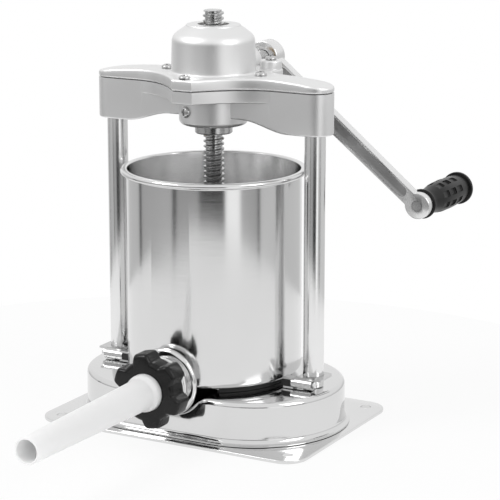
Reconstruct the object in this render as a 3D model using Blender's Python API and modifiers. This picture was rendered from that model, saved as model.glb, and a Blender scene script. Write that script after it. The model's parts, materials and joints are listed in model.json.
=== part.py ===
"""A hand-cranked vertical sausage stuffer, in metres with +Z up.

The origin is the centre of the base plate's underside. +X is the machine's right and -Y its front,
where the stuffing tube points. The crank turns about the Y axis at the back, and two bevel gears
turn a threaded nut round the lead screw, which carries the piston down the steel cylinder.
"""

import math

import bmesh
import bpy
from mathutils import Matrix

# Fits
face_gap = 0.0003
running_gap = 0.0004
cut_overrun = 0.002
weld_distance = 0.000001
full_turn = 2 * math.pi

# Base plate
plate_end_margin = 0.009
plate_side_margin = 0.0115
plate_thickness = 0.0025
plate_corner_radius = 0.018
bench_hole_diameter = 0.0085
bench_hole_inset = 0.015

# Base pan, drawn from one sheet
pan_column_margin = 0.019
pan_cup_margin = 0.002
pan_height = 0.0332
pan_sheet = 0.0012
pan_edge_radius = 0.004
pan_foot_radius = 0.004
notch_floor_height = 0.0195
notch_flat_half_width = 0.010
notch_half_width = 0.033
notch_sump_gap = 0.003
notch_points = 13

# Columns, with a spacer and a bolt below each and a screw on top
column_cup_gap = 0.0067
column_diameter = 0.016
column_clear_length = 0.1955
column_socket_depth = 0.0188
column_end_chamfer = 0.001
thread_bore_diameter = 0.0086
thread_bore_depth = 0.024
spacer_diameter = 0.022
bolt_diameter = 0.008
bolt_engagement = 0.018
foot_bolt_head_diameter = 0.0128
foot_bolt_head_height = 0.0022
bolt_key_across = 0.005
bolt_key_depth = 0.0016
cap_head_diameter = 0.013
cap_head_height = 0.0065
cap_key_across = 0.006
cap_key_depth = 0.004
cap_head_sink = 0.002625

# Cylinder
cup_diameter = 0.136
cup_height = 0.159
cup_wall = 0.0012
cup_edge_radius = 0.005
lip_overhang = 0.0043
lip_height = 0.0042
seat_ring_outer_diameter = 0.122
seat_ring_inner_diameter = 0.100
seat_ring_height = 0.0034

# Outlet, star nut and stuffing tube
outlet_height = 0.010
outlet_bore_diameter = 0.030
outlet_stub_diameter = 0.036
outlet_stub_reach = 0.0025
sump_reach = 0.024
spout_flange_diameter = 0.053
spout_flange_thickness = 0.0055
spout_thread_diameter = 0.040
spout_thread_depth = 0.0012
spout_thread_pitch = 0.003
spout_length = 0.0265
star_length = 0.018
star_lobe_diameter = 0.058
star_valley_diameter = 0.0475
star_lobes = 6
star_lobe_points = 12
star_turn = math.radians(20)
star_valley_share = 0.2
star_lobe_share = 0.8
star_front_wall = 0.004
star_edge_round = 0.0016
tube_flange_thickness = 0.0022
tube_shoulder_diameter = 0.0285
tube_shoulder_length = 0.0075
tube_neck_length = 0.006
tube_root_diameter = 0.0245
tube_tip_diameter = 0.0196
tube_length = 0.1595
tube_wall = 0.0017

# Column clips
clip_sheet = 0.0015
clip_height = 0.0089
clip_front_reach = 0.0167
clip_back_reach = 0.0098
clip_outer_reach = 0.0125
clip_inner_reach = 0.008
clip_corner_radius = 0.004
clip_roll_inner_reach = 0.011
clip_roll_outer_reach = 0.006
clip_tab_reach = 0.0175
clip_tab_width = 0.007
clip_pad_reach = 0.0190
clip_pin_diameter = 0.0050
clip_pin_overhang = 0.0030
clip_roll_start = math.radians(60)
clip_roll_end = math.radians(330)
clip_roll_points = 15

# Bridge casting
bridge_lobe_radius = 0.014
bridge_body_height = 0.0315
bridge_arch_rise = 0.008
arch_inner_half_span = 0.032
arch_outer_half_span = 0.070
block_depth_below_split = 0.0095
block_front_reach = 0.048
block_front_half_width = 0.0085
flank_control_half_width = 0.034
flank_end_half_width = 0.060
block_back_reach = 0.047
block_back_half_width = 0.038
block_back_corner_radius = 0.008
block_back_flank_reach = 0.024
block_back_flank_half_width = 0.044
block_inset_share = 0.99
casting_round = 0.0012
boss_diameter = 0.053
boss_depth = 0.0305
boss_round = 0.003
gear_pocket_depth = 0.0045

# Gear cover casting
cover_thickness = 0.009
cover_round = 0.0018
cover_end_drop = 0.0045
cover_drop_start = 0.046
dome_diameter = 0.0646
dome_shoulder_diameter = 0.0633
dome_shoulder_height = 0.0272
dome_top_diameter = 0.042
dome_height = 0.0365
dome_top_round = 0.002
dome_wall = 0.0038
dome_hole_diameter = 0.024
housing_radius = 0.012
housing_back_reach = 0.056
screw_boss_radius = 0.0085
screw_boss_height = 0.0065
screw_boss_half_spacing = 0.029
screw_boss_reach = 0.038
side_screw_half_spacing = 0.041
front_screw_reach = 0.0432

# Pan-head screws
pan_head_diameter = 0.0088
pan_head_height = 0.0032
pan_head_edge = 0.0008
screw_shank_diameter = 0.0044
screw_engagement = 0.0055
screw_slot_width = 0.0010
screw_slot_depth = 0.0012
screw_slot_length_share = 0.62
bush_screw_angle = math.radians(-112)
bush_screw_height = 0.0115
bush_screw_depth = 0.008

# Bearings and bushes
bush_wall = 0.0016
bush_flange_diameter = 0.029
bush_flange_height = 0.0066
bush_length = 0.022
thrust_ring_diameter = 0.038
thrust_ring_height = 0.0048
thrust_groove_depth = 0.0007
shaft_bush_wall = 0.0018
shaft_bush_length = 0.022

# Bevel gears, on axes that meet at the shaft's height on the screw's axis
gear_teeth = 24
pinion_teeth = 12
gear_module = 0.00184
gear_face_width = 0.0072
addendum = 0.0015
dedendum = 0.0021
tooth_thinning = 0.0007
pressure_angle = math.radians(20)
gear_back_thickness = 0.0035
gear_hub_diameter = 0.032
pinion_hub_diameter = 0.017
pinion_hub_length = 0.0035
nut_sleeve_diameter = 0.022
shaft_height_over_cover = 0.0015

# Lead screw and piston
screw_diameter = 0.016
screw_top_over_dome = 0.0106
screw_end_chamfer = 0.0012
screw_shoulder_diameter = 0.022
screw_shoulder_height = 0.004
screw_stem_diameter = 0.010
piston_clearance = 0.0006
piston_thickness = 0.014
piston_floor_gap = 0.0028
piston_dish = 0.002
piston_recess_diameter = 0.026
piston_recess_depth = 0.0065
seal_groove_depth = 0.0026
seal_height = 0.0052
seal_stand_out = 0.0004
piston_nut_across = 0.017
piston_nut_height = 0.0056
valve_offset = 0.042
valve_stem_diameter = 0.007
valve_head_diameter = 0.013
valve_head_height = 0.002
valve_foot_diameter = 0.0092
valve_foot_height = 0.0012
valve_travel = 0.002
valve_recess_depth = 0.0048

# Crank
shaft_diameter = 0.012
shaft_nose_diameter = 0.009
shaft_front = 0.0125
crank_plane_reach = 0.085
crank_length = 0.172
crank_angle = math.radians(-38.6)
crank_thickness = 0.008
crank_hub_diameter = 0.026
crank_hub_length = 0.014
crank_end_diameter = 0.021
crank_root_width = 0.0155
crank_tip_width = 0.0130
crank_rim = 0.0024
crank_recess_depth = 0.0024
crank_recess_margin = 0.002
crank_round = 0.0008
hub_screw_head_diameter = 0.016
hub_screw_head_height = 0.004
hub_screw_diameter = 0.006
hub_screw_engagement = 0.012

# Grip
grip_length = 0.0735
grip_flange_diameter = 0.0235
grip_flange_thickness = 0.003
grip_waist_diameter = 0.0165
grip_swell_diameter = 0.0245
grip_end_diameter = 0.0262
grip_end_thickness = 0.0035
grip_bore_clearance = 0.0004
grip_recess_columns = 8
grip_recess_rows = 3
grip_recess_length = 0.0085
grip_recess_width = 0.0046
grip_recess_depth = 0.0016
grip_recess_first = 0.026
grip_recess_spacing = 0.0125
grip_body_shares = (0.62, 0.86, 1.0, 0.97, 0.78, 0.36, 0.0, 0.12)
handle_bolt_diameter = 0.008
handle_bolt_head_diameter = 0.0145
handle_bolt_head_height = 0.003
handle_bolt_sink = 0.002

# Facets
fine_steps = 40
round_steps = 24
small_steps = 14
screw_steps = 10
tiny_steps = 8
arc_points = 4
edge_points = 5
flank_points = 9
lobe_points = 13
body_lobe_points = 11
recess_points = 7
arch_stations = 5
cover_stations = 6

# Heights that follow from the sizes
pan_base_z = plate_thickness + face_gap
pan_top_z = pan_base_z + pan_height
column_x = cup_diameter / 2 + lip_overhang + column_cup_gap + column_diameter / 2
pan_length = 2 * (column_x + pan_column_margin)
pan_depth = cup_diameter + 2 * pan_cup_margin
plate_length = pan_length + 2 * plate_end_margin
plate_depth = pan_depth + 2 * plate_side_margin
column_base_z = pan_top_z + face_gap
bridge_bottom_z = pan_top_z + column_clear_length
split_z = bridge_bottom_z + bridge_body_height
ledge_z = split_z - block_depth_below_split
cover_base_z = split_z + face_gap
cover_top_z = cover_base_z + cover_thickness
boss_bottom_z = split_z - boss_depth
column_top_z = bridge_bottom_z + column_socket_depth - face_gap
seat_base_z = pan_top_z + face_gap
cup_base_z = seat_base_z + seat_ring_height + face_gap
cup_rim_z = cup_base_z + cup_height
cup_radius = cup_diameter / 2
outlet_z = pan_top_z + outlet_height
stub_front_y = -(cup_radius + outlet_stub_reach)
spout_back_y = stub_front_y - face_gap
spout_front_y = spout_back_y - spout_length
shaft_z = cover_top_z + shaft_height_over_cover
dome_top_z = cover_top_z + dome_height
screw_top_z = dome_top_z + screw_top_over_dome
piston_base_z = cup_base_z + cup_wall + piston_floor_gap
piston_top_z = piston_base_z + piston_thickness
shoulder_base_z = piston_top_z + face_gap
thread_base_z = shoulder_base_z + screw_shoulder_height
sleeve_bore_radius = screw_diameter / 2 + face_gap
bush_bore_radius = nut_sleeve_diameter / 2 + face_gap
bush_outer_radius = bush_bore_radius + bush_wall
shaft_bush_inner_radius = shaft_diameter / 2 + face_gap
shaft_bush_outer_radius = shaft_bush_inner_radius + shaft_bush_wall
sump_wall_reach = cup_radius - sump_reach

steel_polished = ("polished_steel", (0.62, 0.62, 0.62), 0.12, 1.0)
steel_bright = ("bright_steel", (0.58, 0.58, 0.58), 0.22, 1.0)
steel_plain = ("plain_steel", (0.50, 0.50, 0.51), 0.35, 1.0)
aluminium_cast = ("cast_aluminium", (0.70, 0.70, 0.70), 0.38, 1.0)
bronze = ("bronze", (0.60, 0.42, 0.22), 0.35, 1.0)
plastic_black = ("black_plastic", (0.012, 0.012, 0.013), 0.28, 0.0)
rubber_black = ("black_rubber", (0.02, 0.02, 0.02), 0.70, 0.0)
plastic_white = ("white_plastic", (0.85, 0.85, 0.84), 0.40, 0.0)
silicone_pale = ("silicone", (0.75, 0.73, 0.70), 0.55, 0.0)


def clear_scene():
    for obj in list(bpy.data.objects):
        bpy.data.objects.remove(obj, do_unlink=True)


clear_scene()
parts = bpy.data.collections.new("sausage_stuffer")
cutters = bpy.data.collections.new("cutters")
bpy.context.scene.collection.children.link(parts)
bpy.context.scene.collection.children.link(cutters)
cutters.hide_render = True


def material(spec):
    """The Principled material of that name, made once."""
    name, colour, roughness, metallic = spec
    found = bpy.data.materials.get(name)
    if found:
        return found
    made = bpy.data.materials.new(name)
    made.use_nodes = True
    shader = made.node_tree.nodes["Principled BSDF"]
    shader.inputs["Base Color"].default_value = (*colour, 1.0)
    shader.inputs["Roughness"].default_value = roughness
    shader.inputs["Metallic"].default_value = metallic
    made.diffuse_color = (*colour, 1.0)
    return made


def add_object(name, mesh, finish=None, location=(0, 0, 0), rotation=(0, 0, 0)):
    """A part where a finish is given, and a cutter where none is."""
    obj = bpy.data.objects.new(name, mesh)
    obj.location = location
    obj.rotation_euler = rotation
    if finish is None:
        cutters.objects.link(obj)
        obj.hide_render = True
        obj.display_type = "WIRE"
    else:
        parts.objects.link(obj)
        obj.data.materials.append(material(finish))
    return obj


def mesh_of(name, bm):
    mesh = bpy.data.meshes.new(name)
    bmesh.ops.recalc_face_normals(bm, faces=bm.faces)
    bm.to_mesh(mesh)
    bm.free()
    return mesh


def smooth(obj, angle=math.radians(32)):
    """Shades the round faces smooth and keeps the edges that are sharper than the angle."""
    obj.data.shade_smooth()
    obj.data.set_sharp_from_angle(angle=angle)


def boolean(obj, other, operation):
    step = obj.modifiers.new(operation.lower(), "BOOLEAN")
    step.operation = operation
    step.object = other
    step.solver = "EXACT"


def cut(obj, *others):
    for other in others:
        boolean(obj, other, "DIFFERENCE")


def join(obj, *others):
    for other in others:
        boolean(obj, other, "UNION")


def arc(centre, radius, start, end, points=arc_points):
    """Points on a circle from one angle to another, both ends included."""
    steps = [start + (end - start) * i / (points - 1) for i in range(points)]
    return [(centre[0] + radius * math.cos(a), centre[1] + radius * math.sin(a)) for a in steps]


def curve_points(start, control, end, points=arc_points):
    """Points on a quadratic curve, without its first point."""
    made = []
    for i in range(1, points + 1):
        t = i / points
        made.append(
            tuple(
                (1 - t) ** 2 * a + 2 * t * (1 - t) * b + t**2 * c
                for a, b, c in zip(start, control, end)
            )
        )
    return made


def smoothstep(value):
    share = min(max(value, 0.0), 1.0)
    return share * share * (3 - 2 * share)


def turned(name, profile, steps, finish=None, location=(0, 0, 0), rotation=(0, 0, 0)):
    """A solid of revolution round its own Z axis. The profile (radius, height) runs down its outer side;
    it starts and ends on the axis, or closes on itself round a bore."""
    mesh = bpy.data.meshes.new(name)
    count = len(profile)
    on_axis = profile[0][0] == 0 and profile[-1][0] == 0
    edges = [(i, (i + 1) % count) for i in range(count - on_axis)]
    mesh.from_pydata([(r, 0, z) for r, z in profile], edges, [])
    obj = add_object(name, mesh, finish, location, rotation)
    screw = obj.modifiers.new("turn", "SCREW")
    screw.steps = steps
    screw.render_steps = steps
    screw.use_merge_vertices = True
    screw.merge_threshold = weld_distance
    screw.use_smooth_shade = False
    return obj


def rod(name, radius, low, high, steps, finish=None, location=(0, 0, 0), rotation=(0, 0, 0), chamfer=0):
    """A cylinder along its own Z axis, with the same chamfer at both ends."""
    side = [(radius, high), (radius, low)]
    if chamfer:
        side = [(radius - chamfer, high), (radius, high - chamfer), (radius, low + chamfer), (radius - chamfer, low)]
    return turned(name, [(0, high)] + side + [(0, low)], steps, finish, location, rotation)


def ring(name, inner, outer, low, high, steps, finish=None, location=(0, 0, 0), rotation=(0, 0, 0)):
    profile = [(inner, high), (outer, high), (outer, low), (inner, low)]
    return turned(name, profile, steps, finish, location, rotation)


def prism(name, outline, low, high, finish=None, location=(0, 0, 0), rotation=(0, 0, 0), round_edge=0):
    """An outline in the XY plane, extruded along Z, with rounded top and bottom edges."""
    bm = bmesh.new()
    face = bm.faces.new([bm.verts.new((x, y, low)) for x, y in outline])
    made = bmesh.ops.extrude_face_region(bm, geom=[face])
    raised = [v for v in made["geom"] if isinstance(v, bmesh.types.BMVert)]
    bmesh.ops.translate(bm, verts=raised, vec=(0, 0, high - low))
    if round_edge:
        level = [e for e in bm.edges if abs(e.verts[0].co.z - e.verts[1].co.z) < weld_distance]
        bmesh.ops.bevel(bm, geom=level, offset=round_edge, segments=2, profile=0.5, affect="EDGES")
    return add_object(name, mesh_of(name, bm), finish, location, rotation)


def box(name, low, high, finish=None, location=(0, 0, 0), rotation=(0, 0, 0)):
    bm = bmesh.new()
    bmesh.ops.create_cube(bm, size=1)
    size = [b - a for a, b in zip(low, high)]
    middle = [(a + b) / 2 for a, b in zip(low, high)]
    bmesh.ops.transform(bm, matrix=Matrix.Translation(middle) @ Matrix.Diagonal((*size, 1)), verts=bm.verts)
    return add_object(name, mesh_of(name, bm), finish, location, rotation)


def loft(name, rings, finish=None, closed=False, cap_first=True, location=(0, 0, 0), rotation=(0, 0, 0)):
    """Bridges rings of equally many points. Closed joins the last ring to the first, round a bore."""
    bm = bmesh.new()
    rows = [[bm.verts.new(point) for point in ring_points] for ring_points in rings]
    count = len(rows[0])
    pairs = list(zip(rows, rows[1:]))
    if closed:
        pairs.append((rows[-1], rows[0]))
    for lower, upper in pairs:
        for i in range(count):
            j = (i + 1) % count
            bm.faces.new((lower[i], lower[j], upper[j], upper[i]))
    if not closed and cap_first:
        bm.faces.new(list(reversed(rows[0])))
    if not closed:
        bm.faces.new(rows[-1])
    return add_object(name, mesh_of(name, bm), finish, location, rotation)


def hexagon(across):
    radius = across / math.sqrt(3)
    return [(radius * math.cos(full_turn * i / 6), radius * math.sin(full_turn * i / 6)) for i in range(6)]


def rounded_rectangle(length, depth, radius):
    half_x, half_y = length / 2 - radius, depth / 2 - radius
    quarter = full_turn / 4
    corners = [(half_x, half_y, 0), (-half_x, half_y, 1), (-half_x, -half_y, 2), (half_x, -half_y, 3)]
    outline = []
    for x, y, turn in corners:
        outline += arc((x, y), radius, turn * quarter, (turn + 1) * quarter)
    return outline


def stadium(length, radius, points=round_steps // 2):
    """A slot outline along X, whose ends are half circles."""
    shift = length / 2 - radius
    quarter = full_turn / 4
    return arc((shift, 0), radius, -quarter, quarter, points) + arc((-shift, 0), radius, quarter, 3 * quarter, points)


def build_base():
    """The bench plate, and the drawn pan that stands on it."""
    outline = rounded_rectangle(plate_length, plate_depth, plate_corner_radius)
    plate = prism("base_plate", outline, 0, plate_thickness, steel_bright)
    for side in (-1, 1):
        for end in (-1, 1):
            place = (side * (plate_length / 2 - bench_hole_inset), end * (plate_depth / 2 - bench_hole_inset), 0)
            hole = rod(
                f"cut_bench_hole_{side}_{end}", bench_hole_diameter / 2, -cut_overrun,
                plate_thickness + cut_overrun, small_steps, location=place,
            )
            cut(plate, hole)
        head = foot_bolt_head_diameter / 2 + face_gap
        neck = bolt_diameter / 2 + face_gap
        sink = turned(
            f"cut_foot_bolt_{side}",
            [(0, plate_thickness + cut_overrun), (neck, plate_thickness + cut_overrun),
             (neck, foot_bolt_head_height + face_gap), (head, face_gap), (head, -cut_overrun), (0, -cut_overrun)],
            small_steps, location=(side * column_x, 0, 0),
        )
        cut(plate, sink)

    radius = pan_depth / 2
    quarter = full_turn / 4

    def row(offset, height):
        return [(x, y, height) for x, y in stadium(pan_length + 2 * offset, radius + offset, small_steps)]

    foot_centre = (pan_foot_radius, pan_base_z + pan_sheet + pan_foot_radius)
    foot = arc(foot_centre, pan_foot_radius, 3 * quarter, 2 * quarter)
    edge_centre = (-pan_edge_radius, pan_top_z - pan_edge_radius)
    edge = arc(edge_centre, pan_edge_radius, 0, quarter, edge_points)
    pan = loft("base_pan", [row(r, z) for r, z in foot + edge], steel_polished, cap_first=False)
    sheet = pan.modifiers.new("sheet", "SOLIDIFY")
    sheet.thickness = pan_sheet
    sheet.offset = -1
    sheet.use_even_offset = True
    notch_depth = pan_top_z - (pan_base_z + notch_floor_height)
    rise = []
    for i in range(notch_points):
        x = notch_half_width * i / (notch_points - 1)
        share = smoothstep((x - notch_flat_half_width) / (notch_half_width - notch_flat_half_width))
        rise.append((x, pan_top_z - notch_depth * (1 - share)))
    top = pan_top_z + cut_overrun
    profile = [(-x, z) for x, z in reversed(rise)] + rise[1:]
    profile = [(-notch_half_width, top)] + profile + [(notch_half_width, top)]
    notch = prism(
        "cut_notch", profile, sump_wall_reach - notch_sump_gap, pan_depth / 2 + pan_foot_radius + cut_overrun,
        rotation=(quarter, 0, 0),
    )
    cut(pan, notch)
    for side in (-1, 1):
        hole = rod(
            f"cut_pan_bolt_{side}", bolt_diameter / 2 + face_gap, pan_top_z - pan_sheet - cut_overrun,
            pan_top_z + cut_overrun, small_steps, location=(side * column_x, 0, 0),
        )
        cut(pan, hole)
    smooth(pan)


def build_columns():
    """The two columns, the spacers under them inside the pan, and the bolts and screws that hold them."""
    for side, word in ((-1, "left"), (1, "right")):
        place = (side * column_x, 0, 0)
        column = rod(
            f"column_{word}", column_diameter / 2, column_base_z, column_top_z, round_steps // 2, steel_polished,
            place, chamfer=column_end_chamfer / 2,
        )
        bore = thread_bore_diameter / 2
        cut(
            column,
            rod(f"cut_column_foot_{word}", bore, column_base_z - cut_overrun, column_base_z + thread_bore_depth,
                small_steps, location=place),
            rod(f"cut_column_head_{word}", bore, column_top_z - thread_bore_depth, column_top_z + cut_overrun,
                small_steps, location=place),
        )
        smooth(column)
        ring(
            f"foot_spacer_{word}", thread_bore_diameter / 2, spacer_diameter / 2, pan_base_z,
            pan_top_z - pan_sheet - face_gap, small_steps, steel_plain, place,
        )
        head = foot_bolt_head_diameter / 2
        shank = bolt_diameter / 2
        bolt = turned(
            f"foot_bolt_{word}",
            [(0, column_base_z + bolt_engagement), (shank, column_base_z + bolt_engagement),
             (shank, foot_bolt_head_height), (head, face_gap), (0, face_gap)],
            small_steps, steel_plain, place,
        )
        cut(bolt, prism(f"cut_foot_key_{word}", hexagon(bolt_key_across), -cut_overrun, bolt_key_depth, location=place))
        seat = column_top_z + face_gap + web_thickness() + face_gap
        cap = cap_head_diameter / 2
        screw = turned(
            f"column_screw_{word}",
            [(0, seat + cap_head_height), (cap, seat + cap_head_height), (cap, seat), (shank, seat),
             (shank, column_top_z - bolt_engagement), (0, column_top_z - bolt_engagement)],
            small_steps, steel_plain, place,
        )
        key = prism(
            f"cut_cap_key_{word}", hexagon(cap_key_across), seat + cap_head_height - cap_key_depth,
            seat + cap_head_height + cut_overrun, location=place,
        )
        cut(screw, key)


def web_thickness():
    """The bridge's web between a column's socket and the seat of its screw."""
    return bridge_body_height - column_socket_depth - cap_head_height - cap_head_sink


def build_cup():
    """The steel cylinder with its rolled lip, its sump and outlet stub, and the ring that it stands on."""
    quarter = full_turn / 4
    inner = cup_radius - cup_wall
    edge = cup_edge_radius
    inner_edge = edge - cup_wall
    floor = cup_base_z + cup_wall
    lip = cup_radius + lip_overhang
    roll = lip_height / 2
    lip_centre = (lip - roll, cup_rim_z - roll)
    lip_curve = arc(lip_centre, roll, quarter, -quarter)
    outside = arc((cup_radius - edge, cup_base_z + edge), edge, 0, -quarter, edge_points)
    inside = arc((inner - inner_edge, floor + inner_edge), inner_edge, -quarter, 0, edge_points)
    profile = (
        [(0, floor)] + inside + [(inner, cup_rim_z - cup_wall / 2), (inner + cup_wall / 2, cup_rim_z)]
        + lip_curve + [(cup_radius, cup_rim_z - lip_height)] + outside + [(0, cup_base_z)]
    )
    cup = turned("cylinder", profile, fine_steps, steel_polished)
    stub = rod(
        "join_outlet_stub", outlet_stub_diameter / 2, sump_wall_reach, -stub_front_y, round_steps,
        location=(0, 0, outlet_z), rotation=(quarter, 0, 0),
    )
    half_wall = cup_wall / 2
    room = rod("cut_cup_room", inner + half_wall, floor - half_wall, floor + outlet_stub_diameter, fine_steps)
    cut(stub, room)
    bore = rod(
        "cut_outlet_bore", outlet_bore_diameter / 2, sump_wall_reach + cup_wall, -stub_front_y + cut_overrun,
        round_steps, location=(0, 0, outlet_z), rotation=(quarter, 0, 0),
    )
    join(cup, stub)
    cut(cup, bore)
    smooth(cup)

    seat = ring(
        "cylinder_seat", seat_ring_inner_diameter / 2, seat_ring_outer_diameter / 2, seat_base_z,
        seat_base_z + seat_ring_height, round_steps, rubber_black,
    )
    gap = box(
        "cut_seat_gap",
        (-notch_half_width, -seat_ring_outer_diameter, seat_base_z - cut_overrun),
        (notch_half_width, -sump_wall_reach + notch_sump_gap, cup_base_z + cut_overrun),
    )
    cut(seat, gap)


def build_outlet():
    """The threaded spout, the star nut and the stuffing tube, all along -Y."""
    quarter = full_turn / 4
    turn = (quarter, 0, 0)
    centre = (0, 0, outlet_z)
    back, front = -spout_back_y, -spout_front_y
    bore = outlet_bore_diameter / 2
    crest = spout_thread_diameter / 2
    root = crest - spout_thread_depth
    flange = spout_flange_diameter / 2
    flange_front = back + spout_flange_thickness
    half = spout_flange_thickness / 2
    rim = arc((flange - half, back + half), half, quarter, -quarter)
    threads = []
    count = int((front - flange_front) / spout_thread_pitch)
    for i in range(count):
        top = front - i * spout_thread_pitch
        threads.append((root, top))
        threads.append((crest, top - spout_thread_pitch / 2))
    profile = [(bore, front)] + threads + [(root, flange_front)] + rim + [(bore, back)]
    spout = turned("outlet_spout", profile, round_steps, steel_polished, centre, turn)
    smooth(spout)

    flange_base = front + face_gap
    flange_top = flange_base + tube_flange_thickness
    shoulder = tube_shoulder_diameter / 2
    shoulder_top = flange_top + tube_shoulder_length
    neck_top = shoulder_top + tube_neck_length
    root_radius = tube_root_diameter / 2
    tip = tube_tip_diameter / 2
    tip_top = flange_base + tube_length
    hollow = root_radius - tube_wall
    outside = [
        (tip - tube_wall, tip_top), (tip, tip_top - tube_wall / 2), (root_radius, neck_top),
        (shoulder, shoulder_top), (shoulder, flange_top), (root - tube_wall, flange_top), (root - tube_wall, flange_base),
    ]
    inside = [(shoulder - tube_wall, flange_base), (shoulder - tube_wall, shoulder_top - tube_wall), (hollow, neck_top)]
    tube = turned("stuffing_tube", outside + inside, round_steps, plastic_white, centre, turn)
    smooth(tube, math.radians(25))

    nut_front = flange_top + face_gap + star_front_wall
    nut_back = nut_front - star_length
    valley, lobe = star_valley_diameter / 2, star_lobe_diameter / 2
    outline = []
    points = star_lobe_points * star_lobes
    for i in range(points):
        angle = full_turn * i / points
        wave = (1 + math.cos(star_lobes * angle)) / 2
        rise = smoothstep((wave - star_valley_share) / (star_lobe_share - star_valley_share))
        radius = valley + (lobe - valley) * rise
        outline.append((radius * math.cos(angle), radius * math.sin(angle)))
    star = prism(
        "star_nut", outline, nut_back, nut_front, plastic_black, centre, (quarter, star_turn, 0),
        round_edge=star_edge_round,
    )
    cut(
        star,
        rod("cut_star_bore", crest + running_gap, nut_back - cut_overrun, flange_top + face_gap, round_steps,
            location=centre, rotation=turn),
        rod("cut_star_mouth", shoulder + running_gap, flange_top, nut_front + cut_overrun, round_steps,
            location=centre, rotation=turn),
    )
    smooth(star)


def build_clips():
    """The swing clips at the columns' feet: a bracket with a rolled front, its pin, and a rubber jaw pad."""
    base = pan_top_z + face_gap
    top = base + clip_height
    roll_radius = (clip_height - face_gap) / 2
    roll_y = -(clip_front_reach - roll_radius)
    roll_z = base + face_gap / 2 + roll_radius
    bore = clip_pin_diameter / 2 + face_gap
    quarter = full_turn / 4
    for side, word in ((-1, "left"), (1, "right")):
        place = (side * column_x, 0, 0)
        low_x, high_x = sorted((-side * clip_inner_reach, side * clip_outer_reach))
        front = roll_y
        back = clip_back_reach
        corner = clip_corner_radius
        outline = [(low_x, front), (high_x, front)]
        outline += arc((high_x - corner, back - corner), corner, 0, quarter, edge_points)
        outline += arc((low_x + corner, back - corner), corner, quarter, 2 * quarter, edge_points)
        bracket = prism(f"clip_bracket_{word}", outline, top - clip_sheet, top, steel_bright, place)
        roll_low, roll_high = sorted((-side * clip_roll_inner_reach, side * clip_roll_outer_reach))
        shape = arc((roll_y, roll_z), roll_radius, clip_roll_start, clip_roll_end, clip_roll_points)
        shape += arc((roll_y, roll_z), bore, clip_roll_end, clip_roll_start, clip_roll_points)
        roll = prism(
            f"join_roll_{word}", [(y, z) for y, z in shape], roll_low, roll_high, location=place,
            rotation=(quarter, 0, quarter),
        )
        join(bracket, roll)
        tab_low, tab_high = sorted((-side * (clip_roll_inner_reach - cut_overrun), -side * clip_tab_reach))
        tab_front = -clip_front_reach + face_gap
        tab_back = tab_front + clip_tab_width
        for level, height in (("upper", top - clip_sheet - face_gap / 3), ("lower", base + face_gap)):
            tab = box(
                f"join_tab_{level}_{word}", (tab_low, tab_front, height), (tab_high, tab_back, height + clip_sheet),
                location=place,
            )
            join(bracket, tab)
        hole = rod(
            f"cut_clip_column_{word}", column_diameter / 2 + face_gap, base, top + cut_overrun, small_steps,
            location=place,
        )
        cut(bracket, hole)

        pad_low, pad_high = sorted((-side * (clip_roll_inner_reach + face_gap), -side * clip_pad_reach))
        box(
            f"clip_pad_{word}",
            (pad_low, tab_front + face_gap, base + clip_sheet + 2 * face_gap),
            (pad_high, tab_back - face_gap, top - clip_sheet - 2 * face_gap),
            rubber_black, place,
        )
        pin_low = min(roll_low, roll_high)
        pin_high = max(roll_low, roll_high) + clip_pin_overhang
        if side < 0:
            pin_low, pin_high = pin_low - clip_pin_overhang, roll_high - face_gap
        else:
            pin_low += face_gap
        rod(
            f"clip_pin_{word}", clip_pin_diameter / 2, pin_low, pin_high, tiny_steps, steel_polished,
            (side * column_x, roll_y, roll_z), (0, quarter, 0), chamfer=face_gap,
        )


def front_flank():
    """The casting's front outline from the left lobe to the right one, (x, y)."""
    start = (-flank_end_half_width, -bridge_lobe_radius)
    control = (-flank_control_half_width, -bridge_lobe_radius)
    corner = (-block_front_half_width, -block_front_reach)
    left = [start] + curve_points(start, control, corner, flank_points)
    return left + [(-x, y) for x, y in reversed(left)]


def back_flank():
    """The casting's back outline from the right lobe to the left one."""
    quarter = full_turn / 4
    start = (flank_end_half_width, bridge_lobe_radius)
    control = (block_back_flank_half_width, bridge_lobe_radius)
    side = (block_back_half_width, block_back_flank_reach)
    radius = block_back_corner_radius
    corner = arc((block_back_half_width - radius, block_back_reach - radius), radius, 0, quarter, edge_points)
    right = [start] + curve_points(start, control, side, edge_points) + corner
    return right + [(-x, y) for x, y in reversed(right)]


def bridge_outline():
    quarter = full_turn / 4
    right = arc((column_x, 0), bridge_lobe_radius, -quarter, quarter, lobe_points)
    left = arc((-column_x, 0), bridge_lobe_radius, quarter, 3 * quarter, lobe_points)
    return right + back_flank() + left + front_flank()


def shaped_prism(name, outline, low, high, finish, round_edge, stations, shift):
    """A rounded prism, sliced across X at the stations, whose points then move by shift(x, z) along Z."""
    obj = prism(name, outline, low, high, finish, round_edge=round_edge)
    bm = bmesh.new()
    bm.from_mesh(obj.data)
    for x in stations:
        for side in (-1, 1):
            everything = list(bm.verts) + list(bm.edges) + list(bm.faces)
            bmesh.ops.bisect_plane(bm, geom=everything, dist=weld_distance, plane_co=(side * x, 0, 0), plane_no=(1, 0, 0))
    for vert in bm.verts:
        vert.co.z += shift(abs(vert.co.x), vert.co.z)
    bm.to_mesh(obj.data)
    bm.free()
    return obj


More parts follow.
